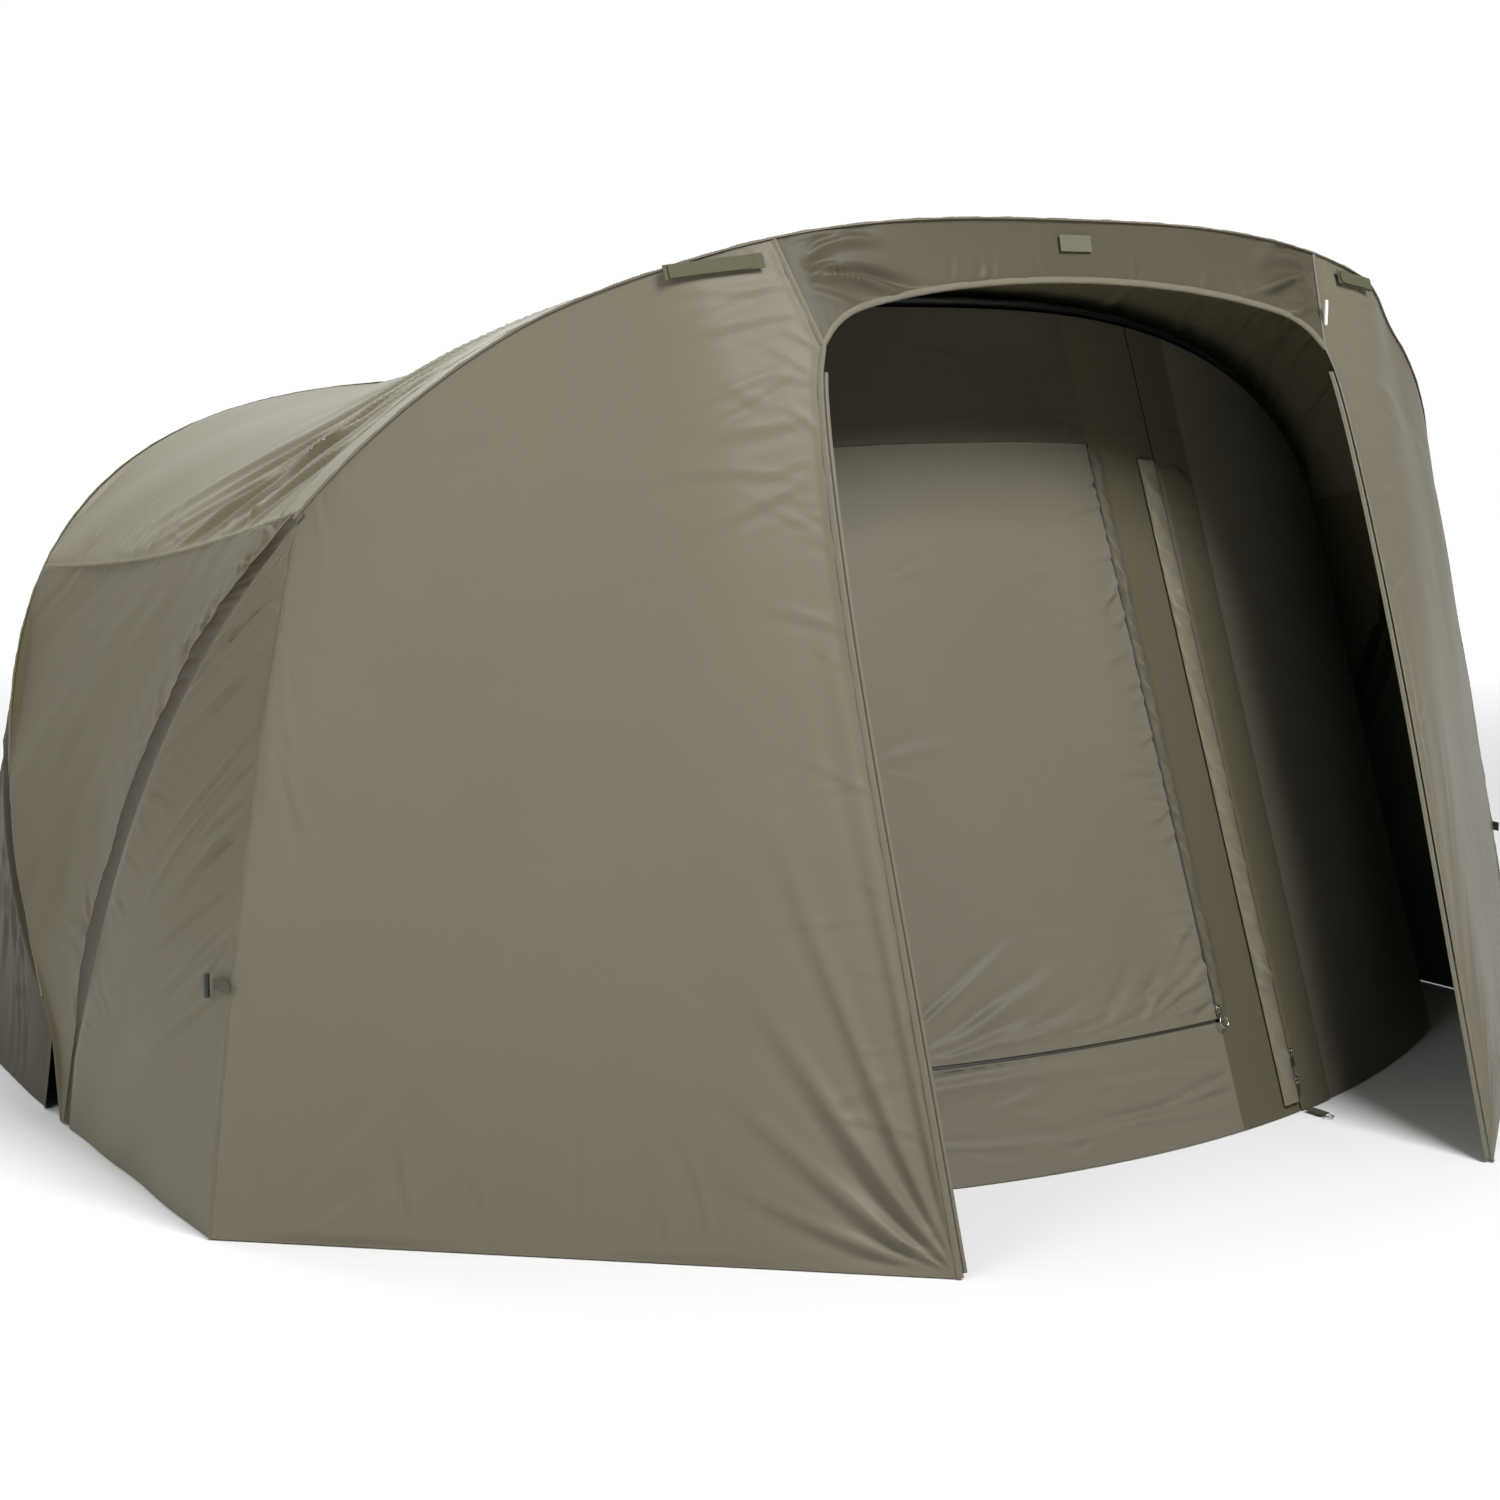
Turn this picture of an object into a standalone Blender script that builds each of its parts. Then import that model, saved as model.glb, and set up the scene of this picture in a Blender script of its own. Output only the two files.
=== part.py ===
"""Two-person pram-hood fishing shelter: three folding ribs on two ground hubs, an outer wrap
with an arched porch door, and an inner front wall with zips. Metres, +Z up, door facing -Y."""
import math
import bpy
from mathutils import Matrix, Vector

# Hub axis: every rib turns about this line, which runs along X
HUB_Y = -0.126
HUB_Z = 0.030

# Rib tube
RIB_RADIUS = 0.008
RIB_WALL = 0.0012
FERRULE_LENGTH = 0.070
FERRULE_GAP = 0.0004
FERRULE_SWAGE = 0.0022
LEG_SPLIT = 40.0
LEG_POINTS = 13

# Hub
EYE_RADIUS = 0.015
EYE_WIDTH = 2 * RIB_RADIUS - 0.002
PIN_RADIUS = 0.005
PIN_HEAD = 0.0035
PIN_GAP = 0.0004
FIT_GAP = 0.0005
CHEEK = 0.008
CHEEK_GAP = 0.0015
HUB_LENGTH = 0.080
HUB_TOP = 0.014
RIB_PITCH = EYE_WIDTH + CHEEK + 2 * CHEEK_GAP

# Outer cloth lines: half width, reach from the hub axis, roundness, tilt from +Y in degrees
HALF_WIDTH = 1.462
FRONT_LINE = (HALF_WIDTH, 1.880, 2.80, 123.3)
REAR_LINE = (HALF_WIDTH - 0.012, 1.645, 2.95, 52.0)

# Top of the crest, which the porch door and its arch are measured against
CREST_Y = HUB_Y + FRONT_LINE[1] * math.cos(math.radians(FRONT_LINE[3]))
CREST_Z = HUB_Z + FRONT_LINE[1] * math.sin(math.radians(FRONT_LINE[3]))

# Rib centre lines: the front and rear ribs lie inside the outer cloth, the middle rib inside both
FRONT_RIB = (FRONT_LINE[0] - 4 * RIB_RADIUS, FRONT_LINE[1] - 3 * RIB_RADIUS, FRONT_LINE[2], FRONT_LINE[3])
REAR_RIB = (FRONT_RIB[0] - RIB_PITCH, REAR_LINE[1] - RIB_RADIUS - 0.020, REAR_LINE[2], REAR_LINE[3])
MIDDLE_RIB = (FRONT_RIB[0] - 2 * RIB_PITCH, 1.560, 2.70, 112.0)
WALL_LINE = MIDDLE_RIB

# The roof pulls the front rib's shoulders back: how far, and where the bow starts and is full
BOW = 0.070
BOW_START = 0.70
BOW_SPAN = 0.25
BOW_RISE = 0.65

# Ground plan, door line first
DOOR_LINE = -1.650
CORNER_X = HALF_WIDTH
CORNER_Y = -0.885
REAR_REACH = 1.776
REAR_ROUND = 2.60

# Porch door: half width in metres against height as a share of the crest's
DOOR_LEAN = (CREST_Y + 0.011 - DOOR_LINE) / CREST_Z
DOOR_EDGE = ((0.567, 0.001), (0.572, 0.281), (0.578, 0.512), (0.571, 0.6995), (0.556, 0.8305), (0.535, 0.868))
DOOR_ARCH = ((0.535, 0.868), (0.500, 0.893), (0.440, 0.9105), (0.247, 0.9317), (0.0, 0.9398))
SEAM_TURN = 74.2
APEX_TURN = 37.5

# Inner wall
WALL_HALF = HALF_WIDTH - 0.292
WALL_FRONT = -1.315
WALL_BOW = 0.29
WALL_TOP_HALF = WALL_HALF - 0.050
WALL_CLEAR = RIB_RADIUS + 0.006
GUSSET_CLEAR = RIB_RADIUS + 0.007
HINGE_U = -0.450
DOOR_ZIP_U = 0.280
FLAP_U = 0.385
MAIN_ZIP_U = 0.432
FACING_U = 0.520
SILL_V = 0.128
LINTEL_V = 0.830

# Cloth and small parts
CLOTH = 0.0016
ZIP_STACK = 0.0022
ZIP_HALF = 0.0012
SEAM = 0.004
GROUND = 0.0015
BAND_WIDTH = 0.100
ROOF_SAG = 0.050
SIDE_SAG = 0.030
SLEEVE_BORE = RIB_RADIUS + 0.0015
SLEEVE_WALL = 0.0016
STRAP_U = 0.878
STRAP_V = 0.985
STRAP_TURN = -0.16
TAB_V = 0.345
BEAD_TOP = 0.865
PULLER_RISE = 0.5045
PULLER_STAND = 0.027


def clear_scene():
    for obj in list(bpy.data.objects):
        bpy.data.objects.remove(obj, do_unlink=True)


def material(name, colour, roughness, metallic=0.0):
    made = bpy.data.materials.new(name)
    made.use_nodes = True
    shader = made.node_tree.nodes["Principled BSDF"]
    shader.inputs["Base Color"].default_value = (*colour, 1.0)
    shader.inputs["Roughness"].default_value = roughness
    shader.inputs["Metallic"].default_value = metallic
    made.diffuse_color = (*colour, 1.0)
    return made


def mesh_object(name, points, faces, look):
    mesh = bpy.data.meshes.new(name)
    mesh.from_pydata([tuple(p) for p in points], [], faces)
    mesh.materials.append(look)
    mesh.validate()
    mesh.update()
    obj = bpy.data.objects.new(name, mesh)
    bpy.context.scene.collection.objects.link(obj)
    return obj


def apply_modifiers(obj):
    """Bake the object's modifiers into its mesh."""
    graph = bpy.context.evaluated_depsgraph_get()
    graph.update()
    baked = bpy.data.meshes.new_from_object(obj.evaluated_get(graph))
    obj.modifiers.clear()
    obj.data = baked


def joined(base, extra, operation="UNION"):
    """Join or cut one closed solid with another, and drop the other."""
    step = base.modifiers.new(operation.title(), "BOOLEAN")
    step.operation = operation
    step.solver = "EXACT"
    step.object = extra
    apply_modifiers(base)
    bpy.data.objects.remove(extra, do_unlink=True)
    return base


def cylinder(name, centre, radius, length, axis, look, sides=16):
    turn = Vector((0, 0, 1)).rotation_difference(Vector(axis)).to_matrix().to_4x4()
    bpy.ops.mesh.primitive_cylinder_add(vertices=sides, radius=radius, depth=length)
    obj = bpy.context.active_object
    obj.name = name
    obj.data.transform(Matrix.Translation(Vector(centre)) @ turn)
    obj.matrix_world = Matrix.Identity(4)
    obj.data.materials.append(look)
    return obj


def box(name, low, high, look):
    low = Vector(low)
    high = Vector(high)
    bpy.ops.mesh.primitive_cube_add(size=1.0)
    obj = bpy.context.active_object
    obj.name = name
    size = high - low
    obj.data.transform(Matrix.Translation((low + high) / 2) @ Matrix.Diagonal((*size, 1.0)))
    obj.matrix_world = Matrix.Identity(4)
    obj.data.materials.append(look)
    return obj


def rounded(obj, width, segments=2):
    step = obj.modifiers.new("Bevel", "BEVEL")
    step.width = width
    step.segments = segments
    step.limit_method = "ANGLE"
    apply_modifiers(obj)
    return obj


def eased(share):
    share = min(1.0, max(0.0, share))
    return share * share * (3 - 2 * share)


def arc_point(line, turn, forward=0.0):
    """A point on a rib line: turn runs from 0 at the left hub to 180 at the right one."""
    half, reach, power, tilt = line
    angle = math.radians(turn)
    along = math.cos(angle)
    x = -math.copysign(half * abs(along) ** (2 / power), along)
    s = reach * abs(math.sin(angle)) ** (2 / power)
    lean = math.radians(tilt)
    y = HUB_Y + s * math.cos(lean) - forward * math.sin(lean)
    z = HUB_Z + s * math.sin(lean) + forward * math.cos(lean)
    if tilt == FRONT_LINE[3]:
        y += BOW * eased((abs(x) - BOW_START) / BOW_SPAN) * eased(s / reach / BOW_RISE)
    return Vector((x, y, z))


def mirrored(points):
    return [Vector((-p.x, p.y, p.z)) for p in points]


def mixed(a, b, share):
    return a * (1 - share) + b * share


def polyline_point(points, share):
    """The point a share of the way along a polyline, by length."""
    spans = [(b - a).length for a, b in zip(points, points[1:])]
    left = share * sum(spans)
    for a, b, span in zip(points, points[1:], spans):
        if left <= span:
            return mixed(a, b, left / span)
        left -= span
    return points[-1].copy()


def stepped(low, high, count):
    return [low + (high - low) * i / (count - 1) for i in range(count)]


def cloth(name, grid, look, thickness=CLOTH):
    """A closed shell from rows of points, thickened away from its outer side."""
    columns = len(grid[0])
    points = [p for row in grid for p in row]
    faces = []
    for i in range(len(grid) - 1):
        for j in range(columns - 1):
            a = i * columns + j
            faces.append((a, a + 1, a + columns + 1, a + columns))
    obj = mesh_object(name, points, faces, look)
    step = obj.modifiers.new("Thickness", "SOLIDIFY")
    step.thickness = thickness
    step.offset = -1.0
    step.use_even_offset = False
    apply_modifiers(obj)
    return obj


def patch(bottom, top, left, right, u, v):
    """A point of the surface stretched between four edge lines."""
    across = mixed(bottom(u), top(u), v)
    upward = mixed(left(v), right(v), u)
    low = mixed(bottom(0), bottom(1), u)
    high = mixed(top(0), top(1), u)
    return across + upward - mixed(low, high, v)


def patch_grid(edges, columns, rows):
    us = stepped(SEAM, 1 - SEAM, columns)
    vs = stepped(0.0, 1 - SEAM, rows)
    return [[patch(*edges, u, v) for u in us] for v in vs]


def wall_point(u, v, lift=0.0):
    """A point of the inner front wall: u across from -1 to 1, v up from 0 to 1."""
    x = WALL_HALF * u
    low = Vector((x, WALL_FRONT + WALL_BOW * x * x, GROUND))
    half, reach, power, tilt = WALL_LINE
    wide = WALL_TOP_HALF * u
    s = reach * (1 - abs(wide / half) ** power) ** (1 / power)
    lean = math.radians(tilt)
    y = HUB_Y + s * math.cos(lean) - WALL_CLEAR * math.sin(lean)
    z = HUB_Z + s * math.sin(lean) + WALL_CLEAR * math.cos(lean)
    high = Vector((wide, y, z))
    point = mixed(low, high, v)
    if lift:
        rise = (high - low).normalized()
        side = Vector((1.0, 2 * WALL_BOW * x, 0.0)).normalized()
        point = point + side.cross(rise).normalized() * lift
    return point


def wall_grid(u_low, u_high, v_low, v_high, columns, rows, lift=0.0, gap=0.002):
    us = stepped(u_low + gap, u_high - gap, columns)
    vs = stepped(v_low, v_high, rows)
    return [[wall_point(u, v, lift) for u in us] for v in vs]


def resampled(points, count):
    return [polyline_point(points, i / (count - 1)) for i in range(count)]


def tube(name, path, outer, inner, plane_normal, look, sides=8):
    """A hollow tube open at both ends, with its radii given at every path point."""
    rings = []
    for i, point in enumerate(path):
        ahead = path[min(i + 1, len(path) - 1)]
        behind = path[max(i - 1, 0)]
        along = (ahead - behind).normalized()
        across = along.cross(plane_normal).normalized()
        rings.append((point, across))
    points = []
    for radii in (outer, inner):
        for (point, across), radius in zip(rings, radii):
            for k in range(sides):
                angle = 2 * math.pi * k / sides
                points.append(point + radius * (math.cos(angle) * across + math.sin(angle) * plane_normal))
    count = len(path)
    faces = []
    for i in range(count - 1):
        for k in range(sides):
            n = (k + 1) % sides
            a = i * sides + k
            b = i * sides + n
            faces.append((a, b, b + sides, a + sides))
            shift = count * sides
            faces.append((a + shift, a + sides + shift, b + sides + shift, b + shift))
    for end, flip in ((0, False), (count - 1, True)):
        for k in range(sides):
            n = (k + 1) % sides
            a = end * sides + k
            b = end * sides + n
            ring = (a, a + count * sides, b + count * sides, b)
            faces.append(ring[::-1] if flip else ring)
    obj = mesh_object(name, points, faces, look)
    return facing_out(obj)


def facing_out(obj):
    """Turn every face outwards by the sign of the enclosed volume."""
    mesh = obj.data
    mesh.calc_loop_triangles()
    volume = 0.0
    for tri in mesh.loop_triangles:
        a, b, c = (mesh.vertices[i].co for i in tri.vertices)
        volume += a.dot(b.cross(c))
    if volume < 0:
        mesh.flip_normals()
    return obj


def rib_normal(line):
    lean = math.radians(line[3])
    return Vector((0.0, -math.sin(lean), math.cos(lean)))


def rib_path(line, start, end, count):
    turns = stepped(start, end, 240)
    return resampled([arc_point(line, t) for t in turns], count)


def rib_leg(name, line, side, look):
    """One lower rib section: an eye on the hub pin, a straight tube and a swaged ferrule on top."""
    direction = Vector((0.0, math.cos(math.radians(line[3])), math.sin(math.radians(line[3]))))
    foot = Vector((-line[0], HUB_Y, HUB_Z)) + direction * 0.010
    path = [foot] + [arc_point(line, t) for t in stepped(0.5, LEG_SPLIT, 120)]
    path = resampled(path, LEG_POINTS)
    end = (path[-1] - path[-2]).normalized()
    path.append(path[-1] + end * 0.012)
    path.append(path[-1] + end * FERRULE_LENGTH)
    outer = [RIB_RADIUS] * LEG_POINTS + [RIB_RADIUS + FERRULE_SWAGE] * 2
    bore = RIB_RADIUS + FERRULE_GAP
    inner = [RIB_RADIUS - RIB_WALL] * LEG_POINTS + [bore] * 2
    if side > 0:
        path = mirrored(path)
    leg = tube(name, path, outer, inner, rib_normal(line), look)
    centre = (side * line[0], HUB_Y, HUB_Z)
    eye = cylinder("eye", centre, EYE_RADIUS, EYE_WIDTH, (1, 0, 0), look, 24)
    hole = cylinder("hole", centre, PIN_RADIUS + FIT_GAP, EYE_WIDTH * 2, (1, 0, 0), look, 24)
    joined(eye, hole, "DIFFERENCE")
    return joined(leg, eye)


def rib_crown(name, line, look):
    """The arched top section: both ends slide inside the legs' ferrules."""
    legs = [arc_point(line, t) for t in stepped(0.5, LEG_SPLIT, 120)]
    below, top = resampled(legs, LEG_POINTS)[-2:]
    end = (top - below).normalized()
    start = top + end * 0.016
    straight_end = top + end * (0.012 + FERRULE_LENGTH + 0.004)
    arc = [arc_point(line, t) for t in stepped(LEG_SPLIT, 180 - LEG_SPLIT, 300)]
    middle = [p for p in arc if abs(p.x) < abs(straight_end.x) - 0.02]
    near = mirrored([straight_end, start])
    path = [start, straight_end] + resampled([straight_end] + middle + [near[0]], 21)[1:-1] + near
    outer = [RIB_RADIUS] * len(path)
    inner = [RIB_RADIUS - RIB_WALL] * len(path)
    return tube(name, path, outer, inner, rib_normal(line), look)


def hub(name, side, look):
    """A moulded ground block: four cheeks that hold three rib eyes on one pin."""
    eyes = (FRONT_RIB[0], REAR_RIB[0], MIDDLE_RIB[0])
    low = min(eyes) - EYE_WIDTH / 2 - CHEEK_GAP - CHEEK
    high = max(eyes) + EYE_WIDTH / 2 + CHEEK_GAP + CHEEK
    half = HUB_LENGTH / 2
    block = box(name, (low, HUB_Y - half, 0.0), (high, HUB_Y + half, HUB_Z + HUB_TOP), look)
    for x in eyes:
        slot = EYE_WIDTH / 2 + CHEEK_GAP
        cut = box("cut", (x - slot, HUB_Y - half - 0.01, HUB_Z - EYE_RADIUS - 0.002),
                  (x + slot, HUB_Y + half + 0.01, HUB_Z + 0.03), look)
        joined(block, cut, "DIFFERENCE")
    bore = cylinder("bore", ((low + high) / 2, HUB_Y, HUB_Z), PIN_RADIUS + PIN_GAP, 0.2, (1, 0, 0), look, 20)
    joined(block, bore, "DIFFERENCE")
    if side < 0:
        block.data.transform(Matrix.Diagonal((-1, 1, 1, 1)))
        block.data.flip_normals()
    return block


def hub_pin(name, side, look):
    eyes = (FRONT_RIB[0], REAR_RIB[0], MIDDLE_RIB[0])
    low = min(eyes) - EYE_WIDTH / 2 - CHEEK_GAP - CHEEK - 0.004
    high = max(eyes) + EYE_WIDTH / 2 + CHEEK_GAP + CHEEK
    centre = (side * (low + high) / 2, HUB_Y, HUB_Z)
    pin = cylinder(name, centre, PIN_RADIUS, high - low, (1, 0, 0), look, 24)
    head_x = side * (low - 0.0015)
    head = cylinder("head", (head_x, HUB_Y, HUB_Z), PIN_RADIUS + PIN_HEAD, 0.004, (1, 0, 0), look, 24)
    return joined(pin, head)


def hood_point(turn, share):
    """A point of the hood between the front line and the rear line, with a little sag."""
    front = arc_point(FRONT_LINE, turn)
    rear = arc_point(REAR_LINE, turn)
    point = mixed(front, rear, share)
    dip = 4 * share * (1 - share)
    rise = math.sin(math.radians(turn)) ** 1.5
    sag = ROOF_SAG * rise * dip
    pull = SIDE_SAG * (1 - rise) * dip * min(1.0, 3 * math.sin(math.radians(turn)))
    inward = Vector((math.cos(math.radians(turn)), 0.0, 0.0))
    centre = Vector((0.0, HUB_Y, HUB_Z))
    down = (centre - point)
    down.x = 0.0
    return point + down.normalized() * sag + inward * pull


def crown_band(look):
    turns = stepped(APEX_TURN, 180 - APEX_TURN, 33)
    rows = []
    for turn in turns:
        span = (arc_point(REAR_LINE, turn) - arc_point(FRONT_LINE, turn)).length
        shares = [0.004 / span, 0.050 / span, BAND_WIDTH / span]
        rows.append([hood_point(turn, share) for share in shares])
    return cloth("crown_band", rows, look)


def roof(look):
    turns = stepped(APEX_TURN + 0.15, 180 - APEX_TURN - 0.15, 27)
    rows = []
    for turn in turns:
        span = (arc_point(REAR_LINE, turn) - arc_point(FRONT_LINE, turn)).length
        shares = stepped((BAND_WIDTH + 0.004) / span, 1 - 0.004 / span, 7)
        rows.append([hood_point(turn, share) for share in shares])
    return cloth("roof_panel", rows, look)


def side_panel(name, side, look):
    """The triangular flank between the front rib's leg and the rear rib's leg."""
    rows = [[Vector((-FRONT_LINE[0], HUB_Y + y, GROUND)) for y in stepped(-0.006, 0.014, 7)]]
    for turn in stepped(1.5, APEX_TURN - 0.25, 15):
        span = (arc_point(REAR_LINE, turn) - arc_point(FRONT_LINE, turn)).length
        shares = stepped(0.016 / span, 1 - 0.006 / span, 7)
        rows.append([hood_point(turn, share) for share in shares])
    return sided(name, rows, side, look)


def sided(name, rows, side, look):
    """Build a panel drawn for the left side, or its mirror image for the right."""
    if side > 0:
        rows = [mirrored(row)[::-1] for row in rows]
    return cloth(name, rows, look)


def sleeve_path():
    foot = arc_point(FRONT_RIB, 0.9)
    return resampled([foot] + [arc_point(FRONT_RIB, t) for t in stepped(1.5, 32.0, 100)], 11)


def rib_sleeve(name, side, look):
    """The gathered cloth sleeve that the front rib's leg runs through."""
    path = sleeve_path()
    if side > 0:
        path = mirrored(path)
    outer = [SLEEVE_BORE + SLEEVE_WALL] * len(path)
    inner = [SLEEVE_BORE] * len(path)
    return tube(name, path, outer, inner, rib_normal(FRONT_RIB), look, 10)


def gusset_seam(v):
    """The seam from the ground corner up to the front apex, left side."""
    apex = arc_point(FRONT_LINE, APEX_TURN)
    low = Vector((-CORNER_X, CORNER_Y, GROUND))
    point = mixed(low, apex, v)
    point.x -= 0.018 * 4 * v * (1 - v)
    return point


def door_plane(x, share):
    """A point of the leaning plane that holds the doorway's edge, left side."""
    height = share * CREST_Z
    return Vector((-x, DOOR_LINE + DOOR_LEAN * height, height))


def door_edge(v):
    """The porch door's left edge, then the seam from its corner up to the crest."""
    edge = [door_plane(x, share) for x, share in DOOR_EDGE]
    crest = arc_point(FRONT_LINE, SEAM_TURN)
    return polyline_point(edge + [crest], v)


def front_panel_edges():
    low_left = Vector((-CORNER_X, CORNER_Y, GROUND))
    low_right = door_edge(0.0)
    apex = APEX_TURN
    return (
        lambda u: mixed(low_left, low_right, u),
        lambda u: arc_point(FRONT_LINE, apex + (SEAM_TURN - apex) * u),
        gusset_seam,
        door_edge,
    )


def front_panel(name, side, look):
    rows = patch_grid(front_panel_edges(), 11, 15)
    return sided(name, rows, side, look)


def gusset(name, side, look):
    """The narrow triangle between the front panel's seam and the front rib's leg."""
    rows = []
    leg = [Vector((-FRONT_LINE[0], HUB_Y - 0.040, GROUND))]
    leg += [arc_point(FRONT_LINE, t, GUSSET_CLEAR) for t in stepped(1.5, APEX_TURN, 60)]
    for v in stepped(0.0, 0.965, 16):
        low = gusset_seam(v)
        far = polyline_point(leg, v)
        gap = 0.004 / max((far - low).length, 0.02)
        rows.append([mixed(low, far, share) for share in stepped(1 - 0.001, gap, 6)])
    return sided(name, rows, side, look)


def door_arch(u):
    """The arched top edge of the porch doorway."""
    half = [door_plane(x, share) for x, share in DOOR_ARCH]
    whole = half + mirrored(half)[::-1][1:]
    return polyline_point(whole, u)


def door_header(look):
    low = door_arch(0.0)
    crest = arc_point(FRONT_LINE, SEAM_TURN)
    edges = (
        door_arch,
        lambda u: arc_point(FRONT_LINE, SEAM_TURN + (180 - 2 * SEAM_TURN) * u),
        lambda v: mixed(low, crest, v),
        lambda v: mixed(mirrored([low])[0], mirrored([crest])[0], v),
    )
    us = stepped(0.003, 0.997, 29)
    rows = [[patch(*edges, u, v) for u in us] for v in stepped(0.0, 0.97, 4)]
    return cloth("door_header", rows, look)


def rear_hem(turn):
    angle = math.radians(turn)
    along = math.cos(angle)
    x = -math.copysign(FRONT_LINE[0] * abs(along) ** (2 / REAR_ROUND), along)
    y = HUB_Y + REAR_REACH * abs(math.sin(angle)) ** (2 / REAR_ROUND)
    return Vector((x, y, GROUND))


def rear_point(turn, share):
    point = mixed(arc_point(REAR_LINE, turn), rear_hem(turn), share)
    dip = 4 * share * (1 - share)
    centre = Vector((0.0, 1.0, 0.4))
    return point + (centre - point).normalized() * 0.03 * dip * math.sin(math.radians(turn))


def rear_panel(name, start, end, columns, look):
    rows = []
    for turn in stepped(start, end, columns):
        span = (rear_hem(turn) - arc_point(REAR_LINE, turn)).length
        shares = stepped(0.005 / span, 1.0, 7)
        rows.append([rear_point(turn, share) for share in shares])
    return cloth(name, rows, look)


def inner_side(name, side, look):
    """The inner wall's return, from its corner back to the middle rib's leg."""
    leg = [Vector((-WALL_LINE[0] + WALL_CLEAR, HUB_Y - 0.060, GROUND))]
    leg += [arc_point(WALL_LINE, t, WALL_CLEAR) for t in stepped(1.5, 39.0, 60)]
    leg = [p for p in leg if p.z < wall_point(-1, 1).z]
    leg.append(wall_point(-1, 1))
    rows = []
    for v in stepped(0.0, 0.94, 14):
        low = wall_point(-1, v)
        far = polyline_point(leg, v)
        gap = 0.004 / max((far - low).length, 0.02)
        rows.append([mixed(low, far, share) for share in stepped(gap, 1.0, 5)])
    rows = [row[::-1] for row in rows]
    return sided(name, rows, side, look)


def groundsheet(look):
    """The floor sheet, from the inner wall back to the rear hem."""
    edge = []
    for u in stepped(-1.0, 1.0, 21):
        low = wall_point(u, 0.0)
        edge.append((low.x * 0.985, low.y + 0.03))
    rear = [rear_hem(t) for t in stepped(170, 10, 33)]
    edge.append((1.330, HUB_Y - 0.10))
    for p in rear:
        x = max(-1.33, min(1.33, p.x * 0.95))
        edge.append((x, HUB_Y + (p.y - HUB_Y) * 0.96))
    edge.append((-1.330, HUB_Y - 0.10))
    points = [Vector((x, y, GROUND)) for x, y in edge]
    obj = mesh_object("groundsheet", points, [tuple(range(len(points)))], look)
    step = obj.modifiers.new("Thickness", "SOLIDIFY")
    step.thickness = CLOTH
    step.offset = 1.0
    apply_modifiers(obj)
    return facing_out(obj)


def wall_zip(name, u, v_low, v_high, look):
    """A straight coil-zip track up the inner wall."""
    rows = []
    for v in stepped(v_low, v_high, 9):
        p = wall_point(u, v, 0.0010)
        side = (wall_point(u + 0.01, v) - wall_point(u - 0.01, v)).normalized() * ZIP_HALF
        rows.append([p - side, p + side])
    return cloth(name, rows, look, ZIP_STACK)


def sill_zip(look):
    rows = []
    low = []
    high = []
    for u in stepped(HINGE_U + 0.004, DOOR_ZIP_U - 0.012, 13):
        rise = (wall_point(u, 1) - wall_point(u, 0)).normalized() * ZIP_HALF
        p = wall_point(u, SILL_V, 0.0010)
        low.append(p - rise)
        high.append(p + rise)
    rows = [low, high]
    return cloth("sill_zip", rows, look, ZIP_STACK)


def wall_frame(u, v, lift):
    """Position and axes on the inner wall: across, up and outward."""
    point = wall_point(u, v, lift)
    up = (wall_point(u, min(v + 0.02, 1)) - wall_point(u, v)).normalized()
    across = (wall_point(u + 0.01, v) - wall_point(u - 0.01, v)).normalized()
    out = across.cross(up).normalized()
    return Matrix((
        (across.x, up.x, out.x, point.x),
        (across.y, up.y, out.y, point.y),
        (across.z, up.z, out.z, point.z),
        (0, 0, 0, 1),
    ))


def zip_slider(name, u, v, look, lift=0.0050):
    """A cast slider body that stands just proud of the track."""
    body = box(name, (-0.0060, -0.0085, 0.0), (0.0060, 0.0085, 0.0050), look)
    rounded(body, 0.0015, 2)
    post = box("post", (-0.0015, -0.0045, 0.0045), (0.0015, 0.0045, 0.0085), look)
    joined(body, post)
    body.data.transform(wall_frame(u, v, lift))
    return body


def ring(name, centre, normal, radius, wire, look, squash=1.0):
    bpy.ops.mesh.primitive_torus_add(major_radius=radius, minor_radius=wire,
                                     major_segments=20, minor_segments=6)
    obj = bpy.context.active_object
    obj.name = name
    turn = Vector((0, 0, 1)).rotation_difference(Vector(normal)).to_matrix().to_4x4()
    obj.data.transform(Matrix.Translation(Vector(centre)) @ turn @ Matrix.Diagonal((1, squash, 1, 1)))
    obj.matrix_world = Matrix.Identity(4)
    obj.data.materials.append(look)
    return obj


def door_bead(name, side, look):
    """The coil zip sewn along one edge of the porch doorway."""
    edge = [door_edge(v) for v in stepped(0.004, 0.93, 30)]
    edge = [p + Vector((0.0095, -0.0004, 0.0)) for p in edge if p.z < BEAD_TOP * CREST_Z]
    rows = [[p, p + Vector((0.0050, 0.0, 0.0))] for p in edge]
    if side > 0:
        rows = [mirrored(row)[::-1] for row in rows]
    return cloth(name, rows, look, ZIP_STACK)


def front_frame(u, v, lift, side=-1):
    """Position and axes on the front panel: along the crest, upward and outward."""
    edges = front_panel_edges()
    point = patch(*edges, u, v)
    across = (patch(*edges, u + 0.02, v) - patch(*edges, u - 0.02, v)).normalized()
    rise = (patch(*edges, u, min(v + 0.02, 1)) - patch(*edges, u, v - 0.02)).normalized()
    out = across.cross(rise).normalized()
    up = out.cross(across).normalized()
    point = point + out * lift
    frame = Matrix((
        (across.x, up.x, out.x, point.x),
        (across.y, up.y, out.y, point.y),
        (across.z, up.z, out.z, point.z),
        (0, 0, 0, 1),
    ))
    if side > 0:
        flip = Matrix.Diagonal((-1, 1, 1, 1))
        return flip @ frame @ flip
    return frame


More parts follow.
